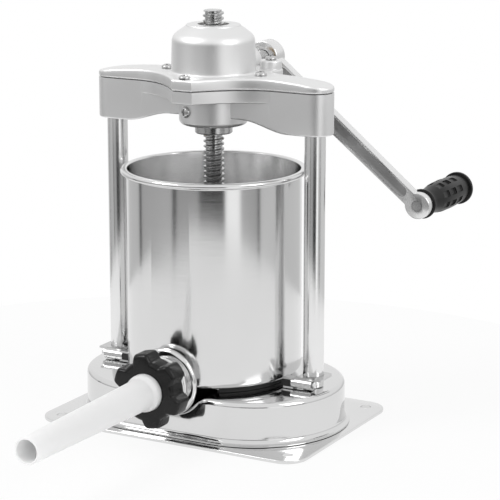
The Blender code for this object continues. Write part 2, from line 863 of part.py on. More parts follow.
def build_bridge():
    """The lower casting, which joins the columns and carries the bush in its boss."""
    span = arch_outer_half_span - arch_inner_half_span
    middle = (bridge_bottom_z + split_z) / 2

    def arch(x, z):
        if z > middle:
            return 0
        return bridge_arch_rise * (1 - smoothstep((x - arch_inner_half_span) / span))

    quarter = full_turn / 4
    right = arc((column_x, 0), bridge_lobe_radius, -quarter, quarter, body_lobe_points)
    left = arc((-column_x, 0), bridge_lobe_radius, quarter, 3 * quarter, body_lobe_points)
    stations = [arch_inner_half_span + span * i / arch_stations for i in range(arch_stations + 1)]
    body = shaped_prism(
        "bridge_body", right + left, bridge_bottom_z, split_z + cut_overrun, aluminium_cast, casting_round, stations, arch
    )
    inset = [(x, y * block_inset_share) for x, y in back_flank() + front_flank()]
    block = prism("join_block", inset, ledge_z, split_z + cut_overrun, round_edge=casting_round)
    low = bridge_bottom_z - cut_overrun
    boss_radius = boss_diameter / 2
    boss_top = ledge_z + 2 * casting_round
    corner = arc((boss_radius - boss_round, boss_bottom_z + boss_round), boss_round, 0, -quarter)
    profile = [(0, boss_top), (boss_radius, boss_top)] + corner + [(0, boss_bottom_z)]
    boss = turned("join_boss", profile, round_steps)
    join(body, block, boss)
    reach = 2 * column_x
    above = box("cut_above_split", (-reach, -reach, split_z), (reach, reach, split_z + 2 * cut_overrun))
    bore_end = split_z + cut_overrun
    pocket = rod("cut_gear_pocket", dome_bore_radius(), split_z - gear_pocket_depth, bore_end, round_steps)
    bush_hole = rod("cut_bush_hole", bush_outer_radius + face_gap, boss_bottom_z - cut_overrun, bore_end, round_steps)
    cut(body, above, pocket, bush_hole)
    socket, clear, cap = (d / 2 for d in (column_diameter, bolt_diameter, cap_head_diameter))
    socket_top = column_top_z + face_gap
    seat = socket_top + web_thickness()
    for side in (-1, 1):
        socket_hole = turned(
            f"cut_socket_{side}",
            [(0, bore_end), (cap + running_gap, bore_end), (cap + running_gap, seat), (clear + face_gap, seat),
             (clear + face_gap, socket_top), (socket + face_gap, socket_top), (socket + face_gap, low), (0, low)],
            small_steps, location=(side * column_x, 0, 0),
        )
        cut(body, socket_hole)
    for index, (x, y, head_z) in enumerate(cover_screw_places()):
        depth = split_z - screw_engagement - face_gap
        cut(
            body,
            rod(f"cut_body_screw_{index}", screw_shank_diameter / 2 + face_gap, depth, split_z + cut_overrun,
                tiny_steps, location=(x, y, 0)),
        )
    height = boss_bottom_z + bush_screw_height
    place = (boss_radius * math.cos(bush_screw_angle), boss_radius * math.sin(bush_screw_angle), height)
    hole = rod(
        "cut_bush_screw", screw_shank_diameter / 2 + face_gap, -bush_screw_depth - face_gap, cut_overrun, tiny_steps,
        location=place, rotation=(0, full_turn / 4, bush_screw_angle),
    )
    spot = rod(
        "cut_bush_screw_seat", pan_head_diameter / 2 + running_gap, -spot_depth(), cut_overrun, small_steps,
        location=place, rotation=(0, full_turn / 4, bush_screw_angle),
    )
    cut(body, hole, spot)
    smooth(body)


def spot_depth():
    """The depth of the flat seat that the bush screw's head needs on the round boss."""
    radius = boss_diameter / 2
    half = pan_head_diameter / 2 + running_gap
    return radius - math.sqrt(radius**2 - half**2)


def dome_bore_radius():
    return dome_diameter / 2 - dome_wall


def cover_screw_places():
    """(x, y, seat height) of the five screws that hold the gear cover."""
    raised = cover_top_z + screw_boss_height
    return [
        (0, -front_screw_reach, cover_top_z),
        (-side_screw_half_spacing, 0, cover_top_z),
        (side_screw_half_spacing, 0, cover_top_z),
        (-screw_boss_half_spacing, screw_boss_reach, raised),
        (screw_boss_half_spacing, screw_boss_reach, raised),
    ]


def build_cover():
    """The upper casting: a flange over the whole bridge, the dome, and the crank shaft's housing."""
    span = column_x + bridge_lobe_radius - cover_drop_start
    middle = (cover_base_z + cover_top_z) / 2

    def droop(x, z):
        if z < middle:
            return 0
        share = max(0.0, (x - cover_drop_start) / span)
        return -cover_end_drop * share**2

    stations = [cover_drop_start + span * i / cover_stations for i in range(cover_stations)]
    cover = shaped_prism(
        "gear_cover", bridge_outline(), cover_base_z, cover_top_z, aluminium_cast, cover_round, stations, droop
    )
    base = dome_diameter / 2
    shoulder = dome_shoulder_diameter / 2
    top = dome_top_diameter / 2
    shoulder_z = cover_top_z + dome_shoulder_height
    slope = (top - shoulder) / (dome_top_z - shoulder_z)
    below = shoulder_z - dome_top_round
    above = shoulder_z + dome_top_round
    profile = [
        (0, dome_top_z), (top - dome_top_round, dome_top_z), (top, dome_top_z - dome_top_round / 2),
        (shoulder + slope * dome_top_round, above), (shoulder, below),
        (base, cover_top_z + cover_round), (base + cover_round, cover_top_z - face_gap), (base, cover_base_z + cover_round),
        (0, cover_base_z + cover_round),
    ]
    dome = turned("join_dome", profile, round_steps)
    quarter = full_turn / 4
    housing = rod(
        "join_housing", housing_radius, dome_bore_radius() - cut_overrun, housing_back_reach, round_steps,
        location=(0, 0, shaft_z), rotation=(-quarter, 0, 0),
    )
    underside = box(
        "cut_housing_underside", (-dome_diameter, 0, bridge_bottom_z),
        (dome_diameter, 2 * housing_back_reach, cover_base_z + cover_round),
    )
    cut(housing, underside)
    join(cover, dome, housing)
    for index, (x, y, seat) in enumerate(cover_screw_places()[3:]):
        boss = turned(
            f"join_screw_boss_{index}",
            [(0, seat), (screw_boss_radius - cover_round, seat), (screw_boss_radius, seat - cover_round),
             (screw_boss_radius, cover_base_z + cover_round), (0, cover_base_z + cover_round)],
            small_steps, location=(x, y, 0),
        )
        join(cover, boss)
    for index, (x, y, seat) in enumerate(cover_screw_places()):
        hole = rod(
            f"cut_cover_screw_{index}", screw_shank_diameter / 2 + face_gap, cover_base_z - cut_overrun,
            seat + cut_overrun, tiny_steps, location=(x, y, 0),
        )
        cut(cover, hole)
    bore = dome_bore_radius()
    mouth = dome_hole_diameter / 2
    room_top = dome_room_top_z()
    room = turned(
        "cut_dome_room",
        [(0, dome_top_z + cut_overrun), (mouth, dome_top_z + cut_overrun), (mouth, room_top),
         (thrust_ring_diameter / 2 + running_gap, room_top), (shoulder - dome_wall, shoulder_z - dome_wall),
         (bore, cover_top_z), (bore, cover_base_z - cut_overrun), (0, cover_base_z - cut_overrun)],
        round_steps,
    )
    shaft_hole = rod(
        "cut_shaft_hole", shaft_bush_outer_radius + face_gap, shaft_front, housing_back_reach + cut_overrun,
        small_steps, location=(0, 0, shaft_z), rotation=(-quarter, 0, 0),
    )
    cut(cover, room, shaft_hole)
    smooth(cover)


def dome_room_top_z():
    return dome_top_z - dome_wall


def pan_head_screw(name, length, location, rotation):
    """A slotted pan-head screw. Its head's underside is at its own origin, and its shank runs down -Z."""
    head, shank = pan_head_diameter / 2, screw_shank_diameter / 2
    crown = [
        (0, pan_head_height), (head / 2, pan_head_height - pan_head_edge / 2),
        (head - pan_head_edge, pan_head_height - 2 * pan_head_edge), (head, pan_head_edge), (head, face_gap),
    ]
    profile = crown + [(shank, face_gap), (shank, -length), (0, -length)]
    screw = turned(name, profile, screw_steps, steel_bright, location, rotation)
    reach = head * screw_slot_length_share
    for index, (x, y) in enumerate(((reach, screw_slot_width / 2), (screw_slot_width / 2, reach))):
        slot = box(
            f"cut_slot_{name}_{index}", (-x, -y, pan_head_height - screw_slot_depth), (x, y, pan_head_height + cut_overrun),
            location=location, rotation=rotation,
        )
        cut(screw, slot)
    smooth(screw)
    return screw


def build_screws():
    words = ("front", "left", "right", "back_left", "back_right")
    for word, (x, y, seat) in zip(words, cover_screw_places()):
        pan_head_screw(f"cover_screw_{word}", seat - split_z + screw_engagement, (x, y, seat), (0, 0, 0))
    radius = boss_diameter / 2 - spot_depth()
    height = boss_bottom_z + bush_screw_height
    place = (radius * math.cos(bush_screw_angle), radius * math.sin(bush_screw_angle), height)
    pan_head_screw("bush_screw", bush_screw_depth - spot_depth(), place, (0, full_turn / 4, bush_screw_angle))


def build_bearings():
    """The flanged bush in the boss, the thrust ring under the dome, and the crank shaft's bush."""
    flange = bush_flange_diameter / 2
    flange_top = boss_bottom_z - face_gap
    bush_bottom = flange_top - bush_flange_height
    chamfer = bush_wall / 2
    turned(
        "guide_bush",
        [(bush_bore_radius, flange_top + bush_length), (bush_outer_radius, flange_top + bush_length),
         (bush_outer_radius, flange_top), (flange, flange_top), (flange, bush_bottom + chamfer),
         (flange - chamfer, bush_bottom), (bush_bore_radius, bush_bottom)],
        round_steps, bronze,
    )
    low = gear_back_z() + face_gap
    high = low + thrust_ring_height
    inner = nut_sleeve_diameter / 2 + running_gap
    outer = thrust_ring_diameter / 2
    middle = (low + high) / 2
    turned(
        "thrust_bearing",
        [(inner, high), (outer, high), (outer, middle + thrust_groove_depth),
         (outer - thrust_groove_depth, middle), (outer, middle - thrust_groove_depth), (outer, low), (inner, low)],
        round_steps, steel_plain,
    )
    ring(
        "shaft_bush", shaft_bush_inner_radius, shaft_bush_outer_radius, housing_back_reach - shaft_bush_length,
        housing_back_reach, small_steps, bronze, (0, 0, shaft_z), (-full_turn / 4, 0, 0),
    )


def cone_distance():
    """From the point where the gears' axes meet to a tooth's outer end."""
    return gear_module * math.hypot(gear_teeth, pinion_teeth) / 2


def gear_back_z():
    """The top of the gear's flat back, where the thrust ring runs."""
    return dome_room_top_z() - face_gap - thrust_ring_height - face_gap


def involute(angle):
    return math.tan(angle) - angle


def tooth_sections(teeth, mate_teeth, phase):
    """The outer and inner rings of a straight bevel gear's teeth, round its own Z axis from the apex at 0."""
    pitch_angle = math.atan2(teeth, mate_teeth)
    distance = cone_distance()
    pitch_radius = gear_module * teeth / 2
    virtual = pitch_radius / math.cos(pitch_angle)
    base = virtual * math.cos(pressure_angle)
    half_pitch_thickness = (math.pi * gear_module / 2 - tooth_thinning) / 2

    def half_angle(height):
        radius = virtual + height
        bare = max(radius, base)
        turn = half_pitch_thickness / virtual + involute(pressure_angle) - involute(math.acos(min(1.0, base / bare)))
        return radius * turn / (pitch_radius + height * math.cos(pitch_angle))

    heights = [-dedendum, 0, addendum]
    flank = [(height, half_angle(height)) for height in heights]
    outer = []
    for tooth in range(teeth):
        middle = phase + full_turn * tooth / teeth
        sides = [(h, middle - a) for h, a in flank] + [(h, middle + a) for h, a in reversed(flank)]
        for height, angle in sides:
            radius = distance * math.sin(pitch_angle) + height * math.cos(pitch_angle)
            level = distance * math.cos(pitch_angle) - height * math.sin(pitch_angle)
            outer.append((radius * math.cos(angle), radius * math.sin(angle), level))
    share = (distance - gear_face_width) / distance
    inner = [(x * share, y * share, z * share) for x, y, z in outer]
    return outer, inner


def circle_like(points, radius, level):
    """A circle whose points lie at the same angles as the given ones."""
    angles = [math.atan2(y, x) for x, y, _ in points]
    return [(radius * math.cos(a), radius * math.sin(a), level) for a in angles]


def build_gears():
    """The bevel gear, whose threaded sleeve drives the lead screw, and the pinion on the crank shaft."""
    outer, inner = tooth_sections(gear_teeth, pinion_teeth, full_turn / 4 + math.pi / gear_teeth)
    root_level = max(z for _, _, z in outer)
    rim = max(math.hypot(x, y) for x, y, _ in outer) - dedendum
    back = root_level + gear_back_thickness
    front = min(z for _, _, z in inner)
    sleeve = nut_sleeve_diameter / 2
    rings = [circle_like(outer, sleeve, back), circle_like(outer, rim, back), outer, inner, circle_like(outer, sleeve, front)]
    gear = loft("bevel_gear_nut", rings, bronze, closed=True, location=(0, 0, shaft_z))
    hub = gear_hub_diameter / 2
    top = gear_back_z() - shaft_z
    bottom = nut_bottom_z() - shaft_z
    core = turned(
        "join_gear_sleeve",
        [(sleeve_bore_radius, top), (hub, top), (hub, back - gear_back_thickness / 2),
         (sleeve + weld_distance, (back + front) / 2), (sleeve, front - face_gap), (sleeve, bottom),
         (sleeve_bore_radius, bottom)],
        round_steps, location=(0, 0, shaft_z),
    )
    join(gear, core)
    smooth(gear)

    outer, inner = tooth_sections(pinion_teeth, gear_teeth, full_turn / 4)
    back = max(z for _, _, z in outer) + pinion_hub_length
    bore = shaft_nose_diameter / 2 + face_gap
    rings = [
        circle_like(outer, bore, min(z for _, _, z in inner)),
        circle_like(outer, bore, back),
        circle_like(outer, pinion_hub_diameter / 2, back),
        circle_like(outer, pinion_hub_diameter / 2, max(z for _, _, z in outer)),
        outer,
        inner,
    ]
    pinion = loft(
        "bevel_pinion", rings, steel_plain, closed=True, location=(0, 0, shaft_z), rotation=(-full_turn / 4, 0, 0)
    )
    smooth(pinion)


def pinion_back_y():
    """Where the pinion's hub ends and the shaft's shoulder starts."""
    outer, _ = tooth_sections(pinion_teeth, gear_teeth, 0)
    return max(z for _, _, z in outer) + pinion_hub_length


def nut_bottom_z():
    """The sleeve's lower end, just inside the mouth of the bush."""
    return boss_bottom_z - bush_flange_height + cut_overrun / 2


def build_lead_screw():
    """The lead screw, which doesn't turn, over a shoulder and a stem that hold the piston."""
    crest = screw_diameter / 2
    shoulder = screw_shoulder_diameter / 2
    stem = screw_stem_diameter / 2
    stem_end = piston_base_z + piston_recess_depth - piston_nut_height
    profile = [
        (0, screw_top_z), (crest - screw_end_chamfer, screw_top_z), (crest, screw_top_z - screw_end_chamfer),
        (crest, thread_base_z), (shoulder, thread_base_z), (shoulder, shoulder_base_z), (stem, shoulder_base_z),
        (stem, stem_end), (0, stem_end),
    ]
    screw = turned("lead_screw", profile, small_steps, steel_bright)
    smooth(screw)


def build_piston():
    """The dished piston with its seal ring, the nut that holds it to the stem, and the air valve."""
    outer = cup_radius - cup_wall - piston_clearance
    middle = (piston_base_z + piston_top_z) / 2
    groove_top, groove_low = middle + seal_height / 2 + face_gap, middle - seal_height / 2 - face_gap
    groove = outer - seal_groove_depth
    bore = screw_stem_diameter / 2 + face_gap
    recess = piston_recess_diameter / 2
    recess_top = piston_base_z + piston_recess_depth
    shoulder = screw_shoulder_diameter / 2 + piston_dish
    profile = [
        (bore, piston_top_z), (shoulder, piston_top_z), (shoulder + piston_dish, piston_top_z - piston_dish),
        (groove - piston_dish, piston_top_z - piston_dish), (outer - piston_dish / 2, piston_top_z),
        (outer, piston_top_z - piston_dish / 2), (outer, groove_top), (groove, groove_top), (groove, groove_low),
        (outer, groove_low), (outer, piston_base_z), (recess, piston_base_z), (recess, recess_top), (bore, recess_top),
    ]
    piston = turned("piston", profile, fine_steps, plastic_white)
    top = piston_top_z - piston_dish
    place = (0, valve_offset, 0)
    hole = rod(
        "cut_valve_hole", valve_stem_diameter / 2 + face_gap, piston_base_z - cut_overrun, top + cut_overrun,
        small_steps, location=place,
    )
    seat = rod(
        "cut_valve_seat", valve_head_diameter / 2 + running_gap, piston_base_z - cut_overrun,
        piston_base_z + valve_recess_depth, small_steps, location=place,
    )
    cut(piston, hole, seat)
    smooth(piston)

    ring(
        "piston_seal", groove + face_gap, outer + seal_stand_out, middle - seal_height / 2, middle + seal_height / 2,
        fine_steps, silicone_pale,
    )
    nut_top = recess_top - face_gap
    nut = prism("piston_nut", hexagon(piston_nut_across), nut_top - piston_nut_height, nut_top, steel_plain)
    cut(nut, rod("cut_nut_bore", bore, piston_base_z - cut_overrun, recess_top + cut_overrun, small_steps))

    stem, head, foot = valve_stem_diameter / 2, valve_head_diameter / 2, valve_foot_diameter / 2
    head_top = piston_base_z + valve_recess_depth - face_gap - valve_travel
    foot_base = top + face_gap
    turned(
        "air_valve",
        [(0, foot_base + valve_foot_height), (foot, foot_base + valve_foot_height), (foot, foot_base),
         (stem, foot_base), (stem, head_top), (head, head_top), (head, head_top - valve_head_height),
         (0, head_top - valve_head_height)],
        small_steps, silicone_pale, place,
    )


def capsule(near_radius, far_radius, near_half, far_half, far_x, points):
    """An arm's outline along X: a round hub at 0, a round boss at far_x, and straight sides between them."""
    near_angle = math.asin(near_half / near_radius)
    far_angle = math.pi - math.asin(far_half / far_radius)
    hub = arc((0, 0), near_radius, near_angle, full_turn - near_angle, points)
    return hub + arc((far_x, 0), far_radius, -far_angle, far_angle, points)


def build_crank():
    """The crank shaft, the channelled crank arm, its hub screw, and the free-turning grip on its bolt."""
    quarter = full_turn / 4
    along_y = (-quarter, 0, 0)
    axis = (0, 0, shaft_z)
    shaft, nose = shaft_diameter / 2, shaft_nose_diameter / 2
    shoulder = pinion_back_y() + face_gap
    hub_back = crank_plane_reach + crank_hub_length / 2
    shaft_end = hub_back - face_gap
    spindle = turned(
        "crank_shaft",
        [(0, shaft_end), (shaft, shaft_end), (shaft, shoulder), (nose, shoulder), (nose, shaft_front), (0, shaft_front)],
        small_steps, steel_bright, axis, along_y,
    )
    thread = hub_screw_diameter / 2
    depth = hub_screw_engagement + face_gap
    cut(spindle, rod("cut_shaft_thread", thread + face_gap, shaft_end - depth, shaft_end + cut_overrun, tiny_steps,
                     location=axis, rotation=along_y))
    smooth(spindle)

    turn = (quarter, -crank_angle, 0)
    centre = (0, crank_plane_reach, shaft_z)
    half = crank_thickness / 2
    hub, boss = crank_hub_diameter / 2, crank_end_diameter / 2
    outline = capsule(hub, boss, crank_root_width / 2, crank_tip_width / 2, crank_length, lobe_points)
    arm = prism("crank_arm", outline, -half, half, aluminium_cast, centre, turn, round_edge=crank_round)
    collar = rod("join_crank_hub", hub, -crank_hub_length / 2, crank_hub_length / 2, round_steps, None, centre, turn,
                 chamfer=crank_round)
    join(arm, collar)
    first = hub + crank_recess_margin + crank_root_width / 2 - crank_rim
    last = crank_length - boss - crank_recess_margin - crank_tip_width / 2 + crank_rim
    near, far = crank_root_width / 2 - crank_rim, crank_tip_width / 2 - crank_rim
    recess = arc((first, 0), near, quarter, 3 * quarter, recess_points)
    recess += arc((last, 0), far, -quarter, quarter, recess_points)
    for word, low, high in (
        ("front", half - crank_recess_depth, half + cut_overrun), ("back", -half - cut_overrun, crank_recess_depth - half),
    ):
        cut(arm, prism(f"cut_recess_{word}", recess, low, high, location=centre, rotation=turn))
    reach = crank_hub_length
    bolt = handle_bolt_diameter / 2
    cut(
        arm,
        rod("cut_crank_bore", shaft + face_gap, -reach, reach, small_steps, location=centre, rotation=turn),
    )
    end_x = crank_length * math.cos(crank_angle)
    end_z = shaft_z + crank_length * math.sin(crank_angle)
    end = (end_x, crank_plane_reach, end_z)
    cut(arm, rod("cut_bolt_bore", bolt + face_gap, -reach, reach, small_steps, location=end, rotation=along_y))
    smooth(arm)

    head = hub_screw_head_diameter / 2
    low = hub_back + face_gap
    crown = low + hub_screw_head_height
    screw = turned(
        "hub_screw",
        [(0, crown), (head * 3 / 4, crown), (head, low + hub_screw_head_height / 2), (head, low), (thread, low),
         (thread, shaft_end - hub_screw_engagement), (0, shaft_end - hub_screw_engagement)],
        small_steps, steel_bright, axis, along_y,
    )
    key = prism("cut_hub_key", hexagon(bolt_key_across), crown - bolt_key_depth, crown + cut_overrun, location=axis,
                rotation=along_y)
    cut(screw, key)
    smooth(screw)
    build_grip((end_x, crank_plane_reach + half + running_gap, end_z), along_y)


def build_grip(base, along_y):
    """The moulded grip, its rows of recesses, and the bolt that it turns on."""
    length = grip_length
    bore = handle_bolt_diameter / 2 + grip_bore_clearance
    sink = length - handle_bolt_sink - handle_bolt_head_height - face_gap
    head_room = handle_bolt_head_diameter / 2 + grip_bore_clearance
    flange, waist, swell, end = (d / 2 for d in (
        grip_flange_diameter, grip_waist_diameter, grip_swell_diameter, grip_end_diameter))
    body_low, body_high = grip_flange_thickness, length - grip_end_thickness
    edge = grip_flange_thickness / 4
    outside = [(end - edge, length), (end, length - edge), (end, body_high)]
    for i, swell_share in enumerate(grip_body_shares):
        height = body_high - (body_high - body_low) * i / (len(grip_body_shares) - 1)
        outside.append((waist + (swell - waist) * swell_share, height))
    outside += [(flange, body_low), (flange, edge), (flange - edge, 0)]
    grip = turned(
        "handle_grip", [(head_room, length)] + outside + [(bore, 0), (bore, sink), (head_room, sink)],
        round_steps, plastic_black, base, along_y,
    )
    bm = bmesh.new()
    for row in range(grip_recess_rows):
        for column in range(grip_recess_columns):
            angle = full_turn * (column + 1 / 2) / grip_recess_columns
            height = grip_recess_first + grip_recess_spacing * row
            reach = swell + cut_overrun - grip_recess_depth
            place = Matrix.Rotation(angle, 4, "Z") @ Matrix.Translation((reach, 0, height))
            size = Matrix.Diagonal((2 * cut_overrun, grip_recess_width, grip_recess_length, 1))
            bmesh.ops.create_cube(bm, size=1, matrix=place @ size)
    pockets = add_object("cut_grip_recesses", mesh_of("cut_grip_recesses", bm), None, base, along_y)
    cut(grip, pockets)
    smooth(grip)

    shank, head = handle_bolt_diameter / 2, handle_bolt_head_diameter / 2
    top = sink + face_gap + handle_bolt_head_height
    bottom = -running_gap - crank_thickness
    bolt = turned(
        "handle_bolt",
        [(0, top), (head - face_gap, top), (head, top - face_gap), (head, sink + face_gap), (shank, sink + face_gap),
         (shank, bottom), (0, bottom)],
        small_steps, steel_bright, base, along_y,
    )
    cut(bolt, prism("cut_bolt_key", hexagon(bolt_key_across), top - bolt_key_depth, top + cut_overrun, location=base,
                    rotation=along_y))
    smooth(bolt)


build_base()
build_columns()
build_cup()
build_outlet()
build_clips()
build_bridge()
build_cover()
build_screws()
build_bearings()
build_gears()
build_lead_screw()
build_piston()
build_crank()
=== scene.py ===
"""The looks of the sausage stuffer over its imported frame: fine surfaces, materials, light, camera. In metres."""

import json
import math

import bmesh
import bpy
from mathutils import Matrix, Vector


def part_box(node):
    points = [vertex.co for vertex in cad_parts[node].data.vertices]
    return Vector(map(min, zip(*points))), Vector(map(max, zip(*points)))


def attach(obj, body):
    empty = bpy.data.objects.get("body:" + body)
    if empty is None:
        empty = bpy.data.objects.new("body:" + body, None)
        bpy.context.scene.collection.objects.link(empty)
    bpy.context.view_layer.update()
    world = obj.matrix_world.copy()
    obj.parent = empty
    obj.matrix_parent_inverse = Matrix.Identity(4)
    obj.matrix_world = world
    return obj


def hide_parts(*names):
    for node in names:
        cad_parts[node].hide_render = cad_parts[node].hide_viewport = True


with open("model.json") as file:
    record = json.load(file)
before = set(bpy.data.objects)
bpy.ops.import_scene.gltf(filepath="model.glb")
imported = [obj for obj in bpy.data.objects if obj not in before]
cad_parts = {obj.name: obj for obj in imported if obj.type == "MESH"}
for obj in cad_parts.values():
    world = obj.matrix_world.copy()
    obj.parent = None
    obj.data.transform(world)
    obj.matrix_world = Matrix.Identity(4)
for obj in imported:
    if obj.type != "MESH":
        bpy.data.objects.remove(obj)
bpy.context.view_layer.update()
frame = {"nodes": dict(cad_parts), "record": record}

full_turn = 2 * math.pi
quarter = full_turn / 4
gap = 0.0003
overrun = 0.002
weld = 0.000001

fine = 160
medium = 96
small = 40


def middle(node):
    low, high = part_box(node)
    return (low + high) / 2


def span(node, axis):
    low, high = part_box(node)
    return low[axis], high[axis]


def arc(centre, radius, start, end, points=9):
    turns = [start + (end - start) * i / (points - 1) for i in range(points)]
    return [(centre[0] + radius * math.cos(a), centre[1] + radius * math.sin(a)) for a in turns]


def smoothstep(value):
    share = min(max(value, 0.0), 1.0)
    return share * share * (3 - 2 * share)


def new_object(name, bm, location=(0, 0, 0), rotation=(0, 0, 0)):
    bmesh.ops.recalc_face_normals(bm, faces=bm.faces)
    mesh = bpy.data.meshes.new(name)
    bm.to_mesh(mesh)
    bm.free()
    obj = bpy.data.objects.new(name, mesh)
    bpy.context.scene.collection.objects.link(obj)
    obj.location = location
    obj.rotation_euler = rotation
    return obj


def lathe(name, profile, steps=medium, location=(0, 0, 0), rotation=(0, 0, 0)):
    """A turned solid round its own Z. The profile (radius, height) ends on the axis, or closes round a bore."""
    bm = bmesh.new()
    rows = []
    for radius, height in profile:
        if radius <= weld:
            rows.append([bm.verts.new((0, 0, height))])
            continue
        turns = [full_turn * i / steps for i in range(steps)]
        rows.append([bm.verts.new((radius * math.cos(a), radius * math.sin(a), height)) for a in turns])
    pairs = list(zip(rows, rows[1:]))
    if len(rows[0]) > 1:
        pairs.append((rows[-1], rows[0]))
    for upper, lower in pairs:
        for i in range(steps):
            j = (i + 1) % steps
            loop = [upper[i % len(upper)], upper[j % len(upper)], lower[j % len(lower)], lower[i % len(lower)]]
            corners = list(dict.fromkeys(loop))
            if len(corners) > 2:
                bm.faces.new(corners)
    return new_object(name, bm, location, rotation)


def rod(name, radius, low, high, steps=medium, location=(0, 0, 0), rotation=(0, 0, 0), edge=0.0):
    side = [(radius, high), (radius, low)]
    if edge:
        top = arc((radius - edge, high - edge), edge, quarter, 0, 4)
        side = top + arc((radius - edge, low + edge), edge, 0, -quarter, 4)
    return lathe(name, [(0, high)] + side + [(0, low)], steps, location, rotation)


def prism(name, outline, low, high, location=(0, 0, 0), rotation=(0, 0, 0), edge=0.0, segments=3):
    bm = bmesh.new()
    face = bm.faces.new([bm.verts.new((x, y, low)) for x, y in outline])
    made = bmesh.ops.extrude_face_region(bm, geom=[face])
    raised = [v for v in made["geom"] if isinstance(v, bmesh.types.BMVert)]
    bmesh.ops.translate(bm, verts=raised, vec=(0, 0, high - low))
    if edge:
        level = [e for e in bm.edges if abs(e.verts[0].co.z - e.verts[1].co.z) < weld]
        bmesh.ops.bevel(bm, geom=level, offset=edge, segments=segments, profile=0.5, affect="EDGES")
    return new_object(name, bm, location, rotation)


def box(name, low, high, location=(0, 0, 0), rotation=(0, 0, 0), edge=0.0):
    bm = bmesh.new()
    bmesh.ops.create_cube(bm, size=1)
    size = [b - a for a, b in zip(low, high)]
    centre = [(a + b) / 2 for a, b in zip(low, high)]
    bmesh.ops.transform(bm, matrix=Matrix.Translation(centre) @ Matrix.Diagonal((*size, 1)), verts=bm.verts)
    if edge:
        bmesh.ops.bevel(bm, geom=list(bm.edges), offset=edge, segments=2, profile=0.5, affect="EDGES")
    return new_object(name, bm, location, rotation)


def loft(name, rings, location=(0, 0, 0), rotation=(0, 0, 0), closed=False):
    bm = bmesh.new()
    rows = [[bm.verts.new(point) for point in ring] for ring in rings]
    pairs = list(zip(rows, rows[1:]))
    if closed:
        pairs.append((rows[-1], rows[0]))
    for lower, upper in pairs:
        for i in range(len(lower)):
            j = (i + 1) % len(lower)
            bm.faces.new((lower[i], lower[j], upper[j], upper[i]))
    if not closed:
        bm.faces.new(list(reversed(rows[0])))
        bm.faces.new(rows[-1])
    return new_object(name, bm, location, rotation)


def carve(obj, joins=(), cuts=(), common=()):
    """Joins, cuts and intersects with the exact solver, then keeps the result and removes the tools."""
    for tools, operation in ((joins, "UNION"), (cuts, "DIFFERENCE"), (common, "INTERSECT")):
        for tool in tools:
            step = obj.modifiers.new(operation, "BOOLEAN")
            step.operation = operation
            step.solver = "EXACT"
            step.object = tool
    bake(obj)
    for tool in [*joins, *cuts, *common]:
        bpy.data.objects.remove(tool)
    return obj


def bake(obj):
    """Replaces the object's mesh by what its modifiers make of it."""
    bpy.context.view_layer.update()
    graph = bpy.context.evaluated_depsgraph_get()
    mesh = bpy.data.meshes.new_from_object(obj.evaluated_get(graph))
    obj.modifiers.clear()
    obj.data = mesh
    return obj


def rounded_edges(obj, width, segments=2, angle=math.radians(35)):
    step = obj.modifiers.new("edges", "BEVEL")
    step.width = width
    step.segments = segments
    step.limit_method = "ANGLE"
    step.angle_limit = angle
    step.use_clamp_overlap = True
    step.harden_normals = False
    return bake(obj)


def dress(obj, body, finish, slot, *replaced, angle=math.radians(32)):
    """Shades the piece, gives it its material, and puts it on its body in place of the plain nodes."""
    obj.data.shade_smooth()
    obj.data.set_sharp_from_angle(angle=angle)
    obj.data.materials.clear()
    obj.data.materials.append(finish)
    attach(obj, body)
    if replaced:
        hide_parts(*replaced)
    return obj


def stadium(length, radius, points=33):
    shift = length / 2 - radius
    right = arc((shift, 0), radius, -quarter, quarter, points)
    return right + arc((-shift, 0), radius, quarter, 3 * quarter, points)


def hexagon(across):
    radius = across / math.sqrt(3)
    return [(radius * math.cos(full_turn * i / 6), radius * math.sin(full_turn * i / 6)) for i in range(6)]


# Materials

def shader_nodes(name):
    made = bpy.data.materials.new(name)
    made.use_nodes = True
    tree = made.node_tree
    return made, tree, tree.nodes["Principled BSDF"]


def stretched_noise(tree, stretch, scale, detail=4.0):
    """Noise over object space, drawn out along the axes where the stretch is small."""
    place = tree.nodes.new("ShaderNodeTexCoord")
    mapping = tree.nodes.new("ShaderNodeMapping")
    mapping.inputs["Scale"].default_value = stretch
    noise = tree.nodes.new("ShaderNodeTexNoise")
    noise.inputs["Scale"].default_value = scale
    noise.inputs["Detail"].default_value = detail
    tree.links.new(place.outputs["Object"], mapping.inputs["Vector"])
    tree.links.new(mapping.outputs["Vector"], noise.inputs["Vector"])
    return noise.outputs["Fac"]


def ranged(tree, value, low, high):
    step = tree.nodes.new("ShaderNodeMapRange")
    step.inputs["To Min"].default_value = low
    step.inputs["To Max"].default_value = high
    tree.links.new(value, step.inputs["Value"])
    return step.outputs["Result"]


def tinted(tree, value, dark, light):
    ramp = tree.nodes.new("ShaderNodeMix")
    ramp.data_type = "RGBA"
    ramp.inputs["A"].default_value = (*dark, 1)
    ramp.inputs["B"].default_value = (*light, 1)
    tree.links.new(value, ramp.inputs["Factor"])
    return ramp.outputs["Result"]


def bumped(tree, value, strength, distance):
    bump = tree.nodes.new("ShaderNodeBump")
    bump.inputs["Strength"].default_value = strength
    bump.inputs["Distance"].default_value = distance
    tree.links.new(value, bump.inputs["Height"])
    return bump.outputs["Normal"]


def metal(name, dark, light, rough_low, rough_high, stretch, scale, bump=0.05, depth=0.00005):
    """Metal whose roughness and relief follow one grain, and whose colour follows a separate coarse cloud."""
    made, tree, shader = shader_nodes(name)
    shader.inputs["Metallic"].default_value = 1.0
    grain = stretched_noise(tree, stretch, scale)
    cloud = stretched_noise(tree, (1, 1, 1), 14.0, 2.0)
    tree.links.new(tinted(tree, cloud, dark, light), shader.inputs["Base Color"])
    tree.links.new(ranged(tree, grain, rough_low, rough_high), shader.inputs["Roughness"])
    tree.links.new(bumped(tree, grain, bump, depth), shader.inputs["Normal"])
    return made


